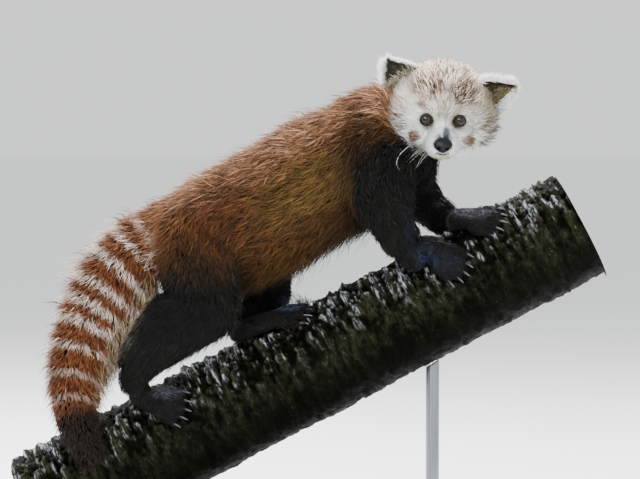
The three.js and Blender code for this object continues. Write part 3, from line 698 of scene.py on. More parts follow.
def head_colour(q, jitter):
    """The face's markings, with khaki hair darkened as painted shade on its left side, from places in the
    head's frame. jitter differs from tuft to tuft.
    """
    x, y, z = q.T
    mirror = np.abs(x)
    both = np.stack([mirror, y, z], 1)
    plain = (len(q), 1)
    made = np.tile(colour(CREAM), plain)
    made = blend_in(made, WHITE, patch(both, (42, 16, -20), (34, 50, 26)) * 0.8)
    # Khaki hair on the face's left side, laid stronger as painted shade.
    khaki_and_shade = smooth(18, 52, x) * smooth(-46, -10, z)
    made = blend_in(made, "#a29566", khaki_and_shade * smooth(0.7, -0.3, jitter) * 0.8)
    # the crown: streaks of dark brown, rust and pale pink hair, thinning out towards the brow
    crown = smooth(6, 36, z + jitter * 14 - 0.1 * mirror) * smooth(62, 40, mirror)
    streaks = blend_in(np.tile(colour("#7d573f"), plain), "#efdfd2", smooth(-0.08, 0.16, jitter))
    streaks = blend_in(streaks, STREAK, smooth(-0.2, -0.35, jitter))
    made = blend_in(made, streaks, crown * 0.94)
    made = lay_marks(made, BROW_MARKS, q, jitter)
    back = smooth(2, -22, y) * smooth(-30, 0, z)
    made = blend_in(made, RUST * (0.9, 0.95, 1.0), back * smooth(0.8, -0.3, jitter) * 0.9)
    made = lay_marks(made, FACE_MARKS, q, jitter)
    made = lay_marks(made, MUZZLE_MARKS, both, jitter)
    made = lay_marks(made, NOSE_MARKS, q, jitter)
    made = blend_in(made, "#cdc095", patch(both, EYE, (12, 30, 11), 0.15) * mix(0.5, 0.8, smooth(-10, 10, x)))
    return blend_in(made, "#d6cba6", patch(q, (0, 48, -62), (17, 24, 6.5), 0.5) * 0.75)


def tail_colour(p, jitter, wide):
    t, inner = tail_place(p)
    ring = np.zeros(len(p))
    bent = t - 0.035 * np.maximum(inner, 0) + 0.007 * jitter + 0.003 * wide
    for centre, weight in TAIL_RINGS:
        ring = np.maximum(ring, weight * (1 - smooth(0.006, 0.018, np.abs(bent - centre))))
    made = mix(RUST * 1.1, RING_RUST * (1 + 0.35 * jitter[:, None]), smooth(0.1, 0.3, t)[:, None])
    made = blend_in(made, RING_PALE, ring * 0.92)
    # Painted rim light: pale tips along the tail's outer edge.
    rim_lit_edge = smooth(-0.62, -1.0, inner) * smooth(0.04, 0.14, t)
    made = blend_in(made, "#e6d6cc", rim_lit_edge * smooth(-0.6, 0.3, jitter) * 0.75)
    made = blend_in(made, "#b5a583", smooth(0.55, 0.95, inner) * smooth(-0.5, 0.4, jitter) * 0.7)
    return blend_in(made, TIP_DARK, smooth(0.79, 0.86, t + 0.015 * jitter))


def coat_colour(p, jitter):
    """The markings of skin and coat, with painted rim light and painted sheen: colours by place, from limbs
    and from the head's frame.
    """
    share = shares_of(nearest_limbs(p)[0])
    x, _, z = p.T
    wide = noises(p, 60, 3)
    plain = (len(p), 1)
    # trunk: rust over the back with painted rim light on its top, golden on the flank, deep brown below
    high = z - (572 + (x - 46) * 0.5)
    golden = smooth(-110, 20, x + 30 * wide) * smooth(-75, -20, high) * 0.85
    made = blend_in(np.tile(colour("#54321a"), plain), GOLD, golden)
    made = blend_in(made, RUST, smooth(26, 80, high + 14 * wide + 8 * jitter))
    # Painted rim light: pale pink tips over the top of the back.
    made = blend_in(made, "#b79c86", smooth(30, 84, high) * smooth(0.3, 0.8, jitter) * 0.55)
    made = blend_in(np.tile(colour(RUST_DEEP), plain), made, smooth(-84, -30, high + 12 * wide + 8 * jitter))
    made = made * (1 + 0.34 * noises(p * (0.5, 1, 1), 13, 9) + 0.48 * jitter)[:, None]
    made = blend_in(made, BLACK, smooth(-96, -113, high + 6 * jitter + 5 * wide))
    # the shoulder lies in deep brown, and the mane over it has pink-brown tips, in part painted highlight
    shoulder = nearness(p, (86, -56, 616), (58, 60, 46), 0.5, 1.3)
    made = blend_in(made, "#3b2513", shoulder * smooth(0.9, -0.1, jitter) * 0.85)
    # Painted highlight, in part: the mane's pink-brown tips.
    mane = nearness(p, (110, -14, 672), (40, 62, 34), 0.5, 1.2)
    made = blend_in(made, "#bd8a72", mane * smooth(-0.3, 0.5, jitter) * 0.75)
    # black throat, chest and forelegs, dark brown just behind them
    ahead = x - 0.2 * (z - 560) + 8 * wide + 14 * jitter
    made = blend_in(made, "#2c1c0e", smooth(14, 82, ahead) * smooth(650, 596, z + 8 * jitter) * 0.85)
    black = np.where((jitter > 0.45)[:, None], colour("#1f1c18"), BLACK)
    made = blend_in(made, black, smooth(66, 106, ahead) * smooth(632, 606, z - 0.15 * (x - 130) + 6 * jitter))
    for name, w in share.items():
        if name.startswith("fore"):
            low = smooth(610, 580, z + 6 * jitter)
            made = blend_in(made, black, smooth(0.15, 0.6, w + 0.12 * jitter) * low)
        elif name.startswith("hind") and name.endswith("upper"):
            dark = smooth(0.02, 0.5, w + 0.1 * jitter) * smooth(524, 430, z + 16 * jitter + 16 * wide)
            made = blend_in(made, BROWN, dark)
            made = blend_in(made, black, dark * smooth(470, 400, z + 12 * jitter))
        elif name.startswith("hind"):
            made = blend_in(made, black, smooth(0.1, 0.5, w))
    made = blend_in(made, tail_colour(p, jitter, wide), smooth(0.3, 0.55, share["tail"]))
    # Painted sheen on the tops of the paws.
    for tone, centre, size, strength in PAINTED_PAW_SHEEN:
        near = nearness(p, centre, size, 0.45, 1.1)
        made = blend_in(made, tone, near * smooth(-0.5, 0.5, jitter) * strength)
    q = to_head(p)
    nape = smooth(-8, 12, q[:, 1] + 0.42 * np.abs(q[:, 0]) + 5 * jitter)
    made = blend_in(made, head_colour(q, jitter), smooth(9, 1, head_field(q, False)[0]) * nape)
    return np.clip(made, 0.002, 1)


def tail_place(p):
    """How far along the tail each place is, from 0 at its root to 1 at its tip, and how far to
    its inner side, from -1 at the outer edge to 1 at the edge towards the legs."""
    middle = TAIL.middle
    best = np.linalg.norm(p[:, None] - middle[None], axis=2).argmin(1)
    off, way, size = p - middle[best], TAIL.along[best], TAIL.size[best]
    length = np.linalg.norm(np.diff(middle, axis=0), axis=1).sum()
    inner = off[:, 0] * -way[:, 2] + off[:, 2] * way[:, 0]
    return TAIL.t[best] + (off * way).sum(1) / length, inner / np.where(inner > 0, size[:, 2], size[:, 1])


def across_of(way, normal):
    """The part of a direction that lies in the surface."""
    return unit(way - (way * normal).sum(1, keepdims=True) * normal)


def lie_and_depth(p, normal):
    """The coat's lie, its depth over the skin, the head's share and the limbs' weights."""
    weights, ways, along = nearest_limbs(p)
    depth = 0
    for k, limb in enumerate(ALL_LIMBS):
        size = np.mean([np.interp(along[k], limb.t, limb.size[:, c]) for c in range(3)], axis=0)
        depth = depth + weights[k] * size * limb.skin
    depth = depth / weights.sum(0)
    lie = unit((weights[:, :, None] * ways).sum(0))
    lie = lie + np.array([0, 0, -0.35]) * (1 - np.abs(normal[:, 2:3]))
    q = to_head(p)
    outside, coat = head_field(q, False)
    on_head = smooth(7, -1, outside) * smooth(-34, -10, q[:, 1])
    radial = head_way(unit(q - (0, 74, -38)) + np.array([0, -0.35, 0.05]))
    lie = mix(lie, radial, on_head[:, None])
    return across_of(lie, normal), mix(depth, coat, on_head), on_head, weights


# The skin's colours and unwrap.
add_layer(skin_mesh, "colour", "coat", coat_colour(skin_points, noises(skin_points, 4, 8)) * 0.8)
add_layer(skin_mesh, "number", "tip", np.full(len(skin_points), 0.3))
skin_material = fur_material("undercoat", skin=True)
skin_mesh.materials.clear()
skin_mesh.materials.append(skin_material)
bpy.context.view_layer.objects.active = skin
skin.select_set(True)
bpy.ops.object.mode_set(mode="EDIT")
bpy.ops.mesh.select_all(action="SELECT")
bpy.ops.uv.smart_project(angle_limit=math.radians(66), island_margin=0.002)
bpy.ops.object.mode_set(mode="OBJECT")
skin.select_set(False)
skin_mesh.uv_layers[0].name = "OFBake"
FLESH = [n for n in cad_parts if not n.startswith(("stand_", "eye", "log", "nose", "ear"))]
dress(skin, "russet_fur", *FLESH)

# The skin as triangles, for scattering the tufts.
skin_mesh.calc_loop_triangles()
tri = read_mesh(skin_mesh.loop_triangles, "vertices", 3, np.int32)
tri_loops = read_mesh(skin_mesh.loop_triangles, "loops", 3, np.int32)
loop_uv = read_mesh(skin_mesh.uv_layers["OFBake"].data, "uv", 2)
skin_normals = read_mesh(skin_mesh.vertices, "normal", 3).astype(float)


def scatter(count, density):
    """Random places on the skin, thicker where density is higher: place, normal and unwrap."""
    corners = skin_points[tri]
    area = np.linalg.norm(np.cross(corners[:, 1] - corners[:, 0], corners[:, 2] - corners[:, 0]), axis=1)
    chance = area * density[tri].mean(1)
    pick = rng.choice(len(tri), count, p=chance / chance.sum())
    u, v = rng.random(count), rng.random(count)
    flip = u + v > 1
    u, v = np.where(flip, 1 - u, u), np.where(flip, 1 - v, v)
    w = np.stack([1 - u - v, u, v], 1)[:, :, None]
    normal = unit((skin_normals[tri[pick]] * w).sum(1))
    return (corners[pick] * w).sum(1), normal, (loop_uv[tri_loops[pick]] * w).sum(1)


# A tuft is two rings of three points and a tip: where they lie along it and how wide they are.
SPINE = np.array([0.0, 0.52, 1.0])
TAPER = (0.85, 1.0)
TUFT_FACES = [(2, 1, 0)]
for i in range(3):
    j = (i + 1) % 3
    TUFT_FACES += [(i, j, 3 + j), (i, 3 + j, 3 + i), (3 + i, 3 + j, 6)]
TUFT_FACES = np.array(TUFT_FACES)
RING_OF = np.array([0, 0, 0, 1, 1, 1, 2])
ROOT, MIDDLE, TIP = 0, 3, 6


def tufts(place, normal, lie, length, rise, width, thick, sway):
    """Closed three-sided tapered blades that leave the skin steeply and bend over into the lie."""
    side = unit(np.cross(normal, lie))
    go = 0.22 * SPINE + 0.78 * SPINE**2
    up = 1 - (1 - SPINE) ** 1.8
    points = np.empty((len(place), 7, 3))
    for k, s in enumerate(SPINE):
        centre = place + lie * (length * go[k])[:, None] + normal * (mix(-1.5, rise, up[k]))[:, None]
        centre = centre + side * (sway * s * s)[:, None]
        if k == 2:
            points[:, TIP] = centre
            continue
        half = side * (width * 0.5 * TAPER[k])[:, None]
        points[:, 3 * k] = centre + half
        points[:, 3 * k + 1] = centre + normal * (thick * TAPER[k])[:, None]
        points[:, 3 * k + 2] = centre - half
    return points


def tuft_object(name, points, colours, tips, uv, slot_name, root=0.0):
    """Joined tufts. colours has one row for each ring, and each tuft a small patch of the unwrap.
    root is how light the roots are against their painted shade, from 0 to 1."""
    starts = np.arange(len(points)) * 7
    faces = (TUFT_FACES[None] + starts[:, None, None]).reshape(-1, 3)
    obj = make_object(name, points.reshape(-1, 3), faces, coat_material)
    mesh = obj.data
    add_layer(mesh, "colour", "coat", colours[:, RING_OF].reshape(-1, 3))
    add_layer(mesh, "number", "tip", root + (1 - root) * SPINE[RING_OF][None] * tips[:, None])
    corner = np.array([(math.cos(a), math.sin(a)) for a in np.arange(7) * 2.4]) * 0.0015
    vertex_uv = (uv[:, None, :] + corner[None]).reshape(-1, 2)
    order = read_mesh(mesh.loops, "vertex_index", 1, np.int32)[:, 0]
    layer = mesh.uv_layers.new(name="OFBake")
    layer.data.foreach_set("uv", vertex_uv[order].astype(np.float32).ravel())
    dress(obj, slot_name)


def clumped(p, lie, normal, size, strength, seed):
    """Turns the lie a little by smooth noise, so that tufts gather into locks."""
    return unit(lie + np.cross(normal, lie) * (noises(p, size, seed) * strength)[:, None])


_, _, skin_head, skin_weights = lie_and_depth(skin_points, skin_normals)
zone = shares_of(skin_weights)
feet = np.vstack([palm.middle[::6] for palm in palms] + [toe.middle[::12] for toe in toes])
foot_gap = np.linalg.norm(skin_points[:, None] - feet[None], axis=2).min(1)
paw_zone = (1 - smooth(24, 34, foot_gap)) * (1 - skin_head)
leg_share = sum(zone[n] for n in LIMB_NAMES if n.endswith(("lower", "paw")))
leg_zone = np.clip(smooth(0.35, 0.6, leg_share) * (1 - skin_head) - paw_zone, 0, 1)
clear_of_log = ~((from_log_axis(skin_points) < LOG_RADIUS + 4) & (foot_gap < 60))


def spoils_face(points):
    """Whether a tuft would lie over an eye, the nose or the mouth, which stay free of hair."""
    x, y, z = np.moveaxis(to_head(points[:, [MIDDLE, TIP]]), -1, 0)
    hidden = np.zeros(len(points), bool)
    for side in (-1, 1):
        eye = np.hypot((x - side * EYE[0]) / 8.4, (z - EYE[2]) / 7.8) < 1
        hidden |= (eye & (y > 20)).any(1)
    nose = np.hypot(x / 13.5, (z - NOSE_HEIGHT + 0.5) / 10.5) < 1
    mouth = (np.abs(x) < 10) & (np.abs(z + 56.8 - 0.02 * x**2) < 1.6)
    return hidden | ((nose | mouth) & (y > 52)).any(1)


# The share of tufts that stand out of the rest.
STRAYS = 0.08


def grow(
    name, slot_name, count, density, length, width, thick, lift, seed, clump=(40, 0.35), wild=0.1, most=1e9,
    root=0.0, tint=None, uneven=0.15, grain=8.0, spot=None,
):
    """One piece of the coat. length is a base and a share of the coat's depth, most its limit, and
    lift how much of the depth the tip reaches. wild scatters the lie, grain is the size of the
    streaks, and spot, from 0 at mid-length to 1 at the tip, is where a tuft of a single colour
    takes it from."""
    place, normal, uv = scatter(count, density)
    lie, depth, _, _ = lie_and_depth(place, normal)
    n = len(place)
    lie = clumped(place, lie, normal, clump[0], clump[1], seed)
    lie = clumped(place, lie, normal, clump[0] / 3.5, clump[1] * 0.8, seed + 5)
    lie = unit(lie + np.cross(normal, lie) * rng.normal(0, wild, n)[:, None])
    vary = rng.random(n)
    gather = noises(place, clump[0] / 3, seed + 9)
    long = np.minimum((length[0] + length[1] * depth) * (0.75 + 0.45 * vary), most)
    rise = depth * lift * (0.62 + 0.3 * rng.random(n) + 0.14 * gather)
    rise = np.where(rng.random(n) < STRAYS, rise * 1.5, rise)
    sway = long * 0.16 * rng.normal(0, 1, n)
    jitter = np.clip(rng.normal(0, 0.4, n) + 0.65 * noise(place, grain, seed + 3), -1, 1)
    width, thick = width * (0.7 + 0.6 * vary), thick * (0.8 + 0.4 * vary)
    points = tufts(place, normal, lie, long, rise, width, thick, sway)
    free = ~spoils_face(points)
    points, jitter, uv, n = points[free], jitter[free], uv[free], int(free.sum())
    if spot is None:
        rings = points[:, [ROOT, MIDDLE, TIP]].reshape(-1, 3)
        colours = coat_colour(rings, np.repeat(jitter, 3)).reshape(n, 3, 3)
    else:
        seen = mix(points[:, MIDDLE], points[:, TIP], spot)
        colours = np.repeat(coat_colour(seen, jitter)[:, None], 3, axis=1)
    # tint lays a colour towards the tips; the loose fringes use it for painted highlight.
    if tint is not None:
        share = np.array([0.2, 0.6, 0.9])[None, :, None] * smooth(-0.6, 0.3, jitter)[:, None, None]
        colours = mix(colours, colour(tint), share)
    colours = np.clip(colours * (1 + uneven * jitter[:, None, None]), 0.001, 1)
    tuft_object(name, points, colours, 0.85 + 0.15 * rng.random(n), uv, slot_name, root)


coat_material = fur_material("coat")
body = np.clip(1 - skin_head - paw_zone - leg_zone, 0, 1)
tail_area = (zone["tail"] > 0.5) * body
fore_area = (zone["tail"] <= 0.5) * (skin_points[:, 0] > 0) * body
rump_area = (zone["tail"] <= 0.5) * (skin_points[:, 0] <= 0) * body
for name, area in (("coat_back", fore_area), ("coat_rump", rump_area)):
    body_coat = dict(clump=(34, 0.4), wild=0.22)
    grow(name, "russet_fur", 19500, area, (9, 0.85), 1.7, 0.7, 1.0, 1, **body_coat)
    grow(name + "_under", "russet_fur", 8200, area, (8, 0.8), 2.4, 0.9, 0.72, 2, **body_coat)
grow("coat_tail", "tail_fur", 18500, tail_area, (12, 0.14), 1.7, 0.7, 1.0, 3, wild=0.3, spot=0.5)
leg_area, paw_area = leg_zone * clear_of_log, paw_zone * clear_of_log
grow("coat_legs", "black_fur", 13500, leg_area, (8, 1.5), 1.3, 0.55, 1.35, 4, (20, 0.35), 0.28, 26)
grow("coat_paws", "black_fur", 8500, paw_area, (5, 1.1), 1.1, 0.45, 1.1, 5, (12, 0.3), most=9)

q = to_head(skin_points)
face_area = skin_head * smooth(8, 34, q[:, 1])
head_area = skin_head * (1 - 0.8 * face_area)
ruff_area = skin_head * smooth(34, 46, np.abs(q[:, 0])) * smooth(24, 4, q[:, 2])
crown_area = skin_head * smooth(14, 32, q[:, 2]) * smooth(-34, -12, q[:, 1])
marks = np.max([patch(q, *tear, edge) for tear, edge in zip(TEARS, TEAR_EDGES)], axis=0)
marks = np.maximum(marks, np.max([patch(q, *each, 0.3) for each in BRIDGE], axis=0))
marks = skin_head * np.maximum(marks, patch(q, *LID_MARK, 0.4))
# name, tufts, where, length, width, thickness, lift, seed, clump, wild, root, uneven, grain, spot
HEAD_FUR = [
    ("face", 18500, face_area, (3, 1.25), 0.75, 0.3, 0.9, 6, (12, 0.3), 0.24, 0.4, 0.22, 3.5, 0.75),
    ("head", 9000, head_area, (6, 1.35), 1.1, 0.45, 1.05, 7, (16, 0.3), 0.22, 0.3, 0.25, 4.5, 0.5),
    ("ruff", 5500, ruff_area, (9, 1.4), 1.0, 0.4, 1.5, 8, (14, 0.4), 0.35, 0.4, 0.25, 4.5, 0.5),
    ("crown", 3600, crown_area, (8, 1.1), 1.0, 0.4, 1.15, 9, (10, 0.4), 0.4, 0.3, 0.25, 4.0, 0.5),
    ("marks", 2000, marks, (4, 0.25), 0.8, 0.3, 1.25, 13, (10, 0.3), 0.3, 0.45, 0.2, 2.5, 0.2),
]
for name, *settings in HEAD_FUR:
    *settings, root, uneven, grain, spot = settings
    grow("coat_" + name, "cream_fur", *settings, root=root, uneven=uneven, grain=grain, spot=spot)

# Sparse hair tinted pale as painted highlight, down the inner side of the tail and behind the near calf, and
# loose hair that hangs from the line of the belly.
tail_along, tail_inner = tail_place(skin_points)
inner_tail = tail_area * smooth(0.25, 0.5, tail_inner)
inner_tail = inner_tail * smooth(0.02, 0.1, tail_along) * smooth(0.75, 0.6, tail_along)
calf = np.linalg.norm((skin_points - (-208, -60, 362)) / (26, 40, 34), axis=1) < 1
calf = (calf & (foot_gap > 30)) * smooth(-0.45, -0.8, skin_normals[:, 0])
belly_line = body * (zone["tail"] < 0.2) * smooth(-0.35, -0.75, skin_normals[:, 2])
belly_line = belly_line * (np.abs(skin_points[:, 0] + 6) < 112)
# name, slot, tufts, where, length, width, thickness, lift, seed, most, root and tint
LOOSE_FUR = [
    ("fringe", "tail_fur", 1900, inner_tail, (12, 0.55), 0.9, 0.4, 1.4, 10, 32, 0.3, "#a9a07c"),
    ("calf_fringe", "tail_fur", 500, calf, (12, 0.5), 0.7, 0.3, 1.5, 11, 26, 0.3, "#6e6d60"),
    ("belly_fringe", "black_fur", 3000, belly_line, (14, 0.6), 0.9, 0.4, 1.6, 12, 34, 0.0, None),
]
for name, *settings in LOOSE_FUR:
    *settings, most, root, tint = settings
    grow("coat_" + name, *settings, clump=(16, 0.4), wild=0.4, most=most, root=root, tint=tint)


# Ears. rim is the length of the fringe on its two edges, and inset how near the edge it starts.
EARS = {
    "right": dict(
        side=-1, root=(-44, -4, 22), tip=(-73.5, -2, 62), opening=(-0.3, 1, 0), rim=(5.5, 13.0), inset=0.6,
        dark="#2d2c25", light="#77735c", lining="#b4b19d",
    ),
    "left": dict(
        side=1, root=(48, -4, 9), tip=(96.5, -2, 34), opening=(0.35, 1, -0.4), rim=(11.0, 10.0), inset=0.72,
        dark="#2a2317", light="#908663", lining="#e6ebee",
    ),
}
# Share up the ear, half-width and depth of its cup, out to the tips of the fur.
EAR_WIDTHS = np.array([
    (0, 29, 17), (0.38, 30, 15), (0.55, 25, 12), (0.72, 18.5, 9), (0.88, 11, 5), (1, 3, 2),
])
EAR_FUR = 4.5
EAR_TUFTS = 5900
EAR_TRAILING = 17.0


def ear_surface(ear, share, angle, inner):
    """Places on the cupped leaf of an ear, in the head's frame, at a share up it and an angle
    round it, with the leaf's own directions: along it, out of its opening and across it."""
    root, tip = np.array(ear["root"], float), np.array(ear["tip"], float)
    along = unit(tip - root)
    length = np.linalg.norm(tip - root) - EAR_FUR
    opening = np.array(ear["opening"], float)
    opening = unit(opening - opening.dot(along) * along)
    wide = np.cross(along, opening)
    at, widths, depths = EAR_WIDTHS.T
    half = np.interp(share, at, widths) - EAR_FUR * smooth(1.15, 0.8, share) - inner * 2.2
    deep = np.interp(share, at, depths) - 1.5 - inner * 2.2
    sideways = wide * (np.maximum(half, 0.5) * np.sin(angle))[:, None]
    back = opening * (np.maximum(deep, 0.2) * np.cos(angle))[:, None]
    return root + along * (share * length)[:, None] + sideways - back, along, opening, wide


def ear_leaf(which, ear, rows=40, cols=32):
    angle = np.linspace(-np.pi / 2, np.pi / 2, cols)
    loops = []
    for share in np.linspace(-0.12, 1, rows):
        outer = ear_surface(ear, np.full(cols, share), angle, 0)[0]
        inner = ear_surface(ear, np.full(cols, share), angle[::-1], 1)[0]
        loops.append(from_head(np.vstack([outer, inner])))
    verts, faces = closed_rings(loops)
    obj = make_object("ear_skin_" + which, verts, faces, skin_material)
    add_layer(obj.data, "colour", "coat", np.tile(colour("#3b392f"), (len(verts), 1)))
    add_layer(obj.data, "number", "tip", np.full(len(verts), 0.6))
    dress(obj, "cream_fur", "ear_" + which)


def ear_fur(which, ear):
    """A thick pale rim, long pale hair from the inner base, a dark lining and a soft back."""
    n = EAR_TUFTS
    kind = rng.random(n)
    rim, inside, long_inside = kind < 0.44, (kind > 0.62) & (kind < 0.95), kind > 0.95
    behind = ~(rim | inside | long_inside)
    within = inside | long_inside
    share = rng.uniform(0.12, 1, n)
    low_edge = ear["side"] > 0
    share = np.where(long_inside, rng.uniform(0.25, 0.9 if low_edge else 0.5, n), share)
    angle = rng.uniform(-1, 1, n)
    angle = np.where(rim, np.sign(angle) * mix(ear["inset"], 1.0, np.abs(angle)), angle) * np.pi / 2
    angle = np.where(long_inside & low_edge, -0.75 - 0.4 * np.abs(angle), angle)
    top = rim & (rng.random(n) < 0.3)
    share = np.where(top, 0.86 + 0.14 * share, share)
    angle = np.where(top, rng.uniform(-1, 1, n) * np.pi / 2, angle)
    place, along, opening, wide = ear_surface(ear, share, angle, 0.0)
    place = np.where(within[:, None], ear_surface(ear, share, angle, 1.0)[0], place)
    sine = np.sin(angle)[:, None]
    outward = wide * sine - opening * np.cos(angle)[:, None]
    spread = np.where(top, 0, np.sign(angle))[:, None]
    edge_normal = wide * spread * 0.9 + opening * 0.35 + along * top[:, None]
    normal = unit(np.where(rim[:, None], edge_normal, np.where(within[:, None], -outward, outward)))
    lie = along + 0.7 * wide * sine + np.where(rim, 0.15, 0)[:, None] * opening
    trailing = rim & (angle > 0) & (share < 0.36) & (not low_edge)
    lie = np.where(trailing[:, None], wide - 0.5 * along - 0.3 * opening, lie)
    inward = 0.4 * along - wide + 0.4 * opening if low_edge else along - 0.6 * wide * sine + 0.5 * opening
    lie = across_of(np.where(long_inside[:, None], inward, lie), normal)
    lie = unit(lie + np.cross(normal, lie) * rng.normal(0, 0.6, n)[:, None])
    kinds = [rim, long_inside, inside]
    rim_long = np.where(trailing, EAR_TRAILING, np.where(angle < 0, *ear["rim"]))
    long = np.select(kinds, [rim_long, 15.0, 7.5], 8.0) * (0.45 + 0.95 * rng.random(n))
    rise = np.select(kinds, [0.5 * rim_long, 5.0, 2.2], 3.0) * (0.2 + 1.1 * rng.random(n))
    bright = 0.5 - 1.5 * angle if low_edge else (0.45 - share) * 2
    bright = smooth(-0.6, 0.9, bright + rng.normal(0, 0.35, n))
    shade = np.tile(colour("#f1f3f6"), (n, 1))
    shade = blend_in(shade, mix(colour(ear["dark"]), colour(ear["light"]), bright[:, None]), inside)
    shade = blend_in(shade, ear["lining"], long_inside)
    shade = blend_in(shade, "#d9c4b4", behind * smooth(0.9, 0.4, np.abs(angle) / 1.57) * 0.8)
    shade = np.clip(shade * (1 + 0.1 * rng.normal(0, 1, n)[:, None]), 0.01, 1)
    place, normal, lie = from_head(place), head_way(normal), head_way(lie)
    sway = long * 0.15 * rng.normal(0, 1, n)
    points = tufts(place, normal, lie, long, rise, np.full(n, 0.9), np.full(n, 0.3), sway)
    uv = 0.02 + 0.96 * np.stack([share, angle / np.pi + 0.5], 1)
    colours = np.repeat(shade[:, None], 3, axis=1)
    tuft_object("coat_ear_" + which, points, colours, np.ones(n), uv, "cream_fur", 0.35)


for which, ear in EARS.items():
    ear_leaf(which, ear)
    ear_fur(which, ear)


def ball(rows, cols):
    """A unit ball as rings round its y axis, the first ring at +y."""
    loops = []
    turn = turns(cols)
    for a in np.linspace(0.01, np.pi - 0.01, rows):
        ring = [np.sin(a) * np.cos(turn), np.full(cols, np.cos(a)), -np.sin(a) * np.sin(turn)]
        loops.append(np.stack(ring, 1))
    return closed_rings(loops)


# Eyes and lids. The opening of the lids is a little pointed towards the nose.
eye_glass = eye_material()
lid_skin = moist_material("lid_skin", "#080605", "#15100d", 0.15)
EYE_SWING = math.radians(5)
LID_POINTS, LID_SIDES = 96, 12
LID_OPENING, LID_THICK = (7.0, 6.5), (1.4, 1.3)


def eyeball(which, place):
    verts, faces = ball(72, 96)
    angle = np.arccos(np.clip(verts[:, 1], -1, 1))
    streak = noise(np.stack([np.arctan2(verts[:, 2], verts[:, 0]) * 6, angle * 1.5, angle * 0], 1), 0.4, 3)
    radius = EYE_RADIUS * (1 + 0.05 * smooth(0.9, 0.3, angle))
    obj = make_object("eyeball_" + which, place(verts * radius[:, None]), faces[:, ::-1], eye_glass)
    add_layer(obj.data, "number", "gaze", angle / (np.pi / 2) * 0.9)
    add_layer(obj.data, "number", "streak", streak * 0.5 + 0.5)
    dress(obj, "eye", "eye_" + which)


def eyelids(which, place, side):
    a, b = turns(LID_POINTS)[:, None], turns(LID_SIDES)[None]
    pointed = 1 + 0.2 * np.maximum(0.0, np.cos(a - (math.pi if side > 0 else 0))) ** 6
    wide, high = LID_OPENING
    x = np.cos(a) * wide * pointed + np.cos(a) * LID_THICK[0] * np.cos(b)
    z = np.sin(a) * high - 2.5 * (pointed - 1) + np.sin(a) * LID_THICK[0] * np.cos(b)
    y = LID_THICK[1] * np.sin(b) + 5.4 - 0.03 * x**2
    i, j = np.meshgrid(np.arange(LID_POINTS), np.arange(LID_SIDES), indexing="ij")
    i2, j2 = (i + 1) % LID_POINTS, (j + 1) % LID_SIDES
    quads = np.stack([k * LID_SIDES + m for k, m in ((i, j), (i2, j), (i2, j2), (i, j2))], -1).reshape(-1, 4)
    lids = make_object("lids_" + which, place(np.stack([x, y, z], -1).reshape(-1, 3)), quads, lid_skin)
    dress(lids, "nose")


for side, which in ((-1, "right"), (1, "left")):
    cos_swing, sin_swing = math.cos(EYE_SWING), side * math.sin(EYE_SWING)
    turn = np.array([(cos_swing, sin_swing, 0), (-sin_swing, cos_swing, 0), (0, 0, 1)])

    def place(p):
        return from_head(p @ turn.T + EYE * (side, 1, 1))

    eyeball(which, place)
    eyelids(which, place, side)

# The nose pad: two nostrils, the slit beside each and the groove below.
verts, faces = ball(90, 110)
x, y, z = verts.T
wide = 12.2 + 1.6 * z - 2.2 * smooth(-0.2, -1, z)
px, py, pz = x * wide, 70 + y * 8 - 2 * z, NOSE_HEIGHT + z * 9.5
for side in (-1, 1):
    hole = np.exp(-(((px - side * 6.0) / 2.9) ** 2 + ((pz + 47.2 + 0.25 * side * px) / 2.1) ** 2))
    slit = np.exp(-(((px - side * 9.6) / 2.6) ** 2 + ((pz + 48.8) / 1.0) ** 2))
    py = py - (5.2 * hole + 2.2 * slit) * (y > 0)
py = py - 1.1 * np.exp(-((px / 0.8) ** 2)) * smooth(-46, -50, pz) * (y > 0)
nose_skin = moist_material("nose_pad", "#030304", "#08080a", 0.18)
nose = make_object("nose_pad", from_head(np.stack([px, py, pz], 1)), faces[:, ::-1], nose_skin)
dress(nose, "nose", "nose")


def tube_along(places, radii, sides, steps):
    """A round tapered tube through places in the head's frame, closed at both ends."""
    path = Limb("tube", [(*from_head(p), r, r) for p, r in zip(places, radii)], 0)
    return path.shell(sides, steps, (0.4, 0.4))


MOUTH = [(-17, 49, -48), (-9, 62.5, -54.0), (0, 67, -56.4), (9, 62.5, -54.0), (17, 49, -48)]
mouth = make_object("mouth_line", *tube_along(MOUTH, (0.3, 0.6, 0.75, 0.6, 0.3), 12, 60), lid_skin)
dress(mouth, "nose")

# Whiskers: tapered hairs that sweep out and back from the muzzle, and a long one on the right.
WHISKERS_A_SIDE = 5
LONG_WHISKER = [(-36, 36, -47), (-44.5, 52, -49), (-54.5, 56, -58.5), (-58.5, 56, -70), (-55, 54, -79)]
parts = []
for side in (-1, 1):
    for k in range(WHISKERS_A_SIDE):
        row, col = k % 3, k // 3
        start = np.array([side * (13 + 3.5 * col), 58 - 6 * col, -45 - 4 * row])
        outward, back, down = 1.0 + 0.3 * rng.random(), 0.1 + 0.4 * rng.random(), 0.1 + 0.8 * rng.random()
        out = np.array([side * outward, -back, -down])
        long = 22 + 20 * rng.random()
        bend = np.array([side * -0.2, -0.3, -0.6 - 0.6 * rng.random()])
        places = [start + unit(out) * long * s + bend * long * 0.45 * s * s for s in (0, 0.33, 0.67, 1)]
        parts.append(tube_along(places, (0.1, 0.1, 0.08, 0.04), 5, 14))
parts.append(tube_along(LONG_WHISKER, (0.14, 0.18, 0.2, 0.18, 0.1), 6, 24))
dress(make_object("whiskers", *joined(parts), whisker_material()), "cream_fur")

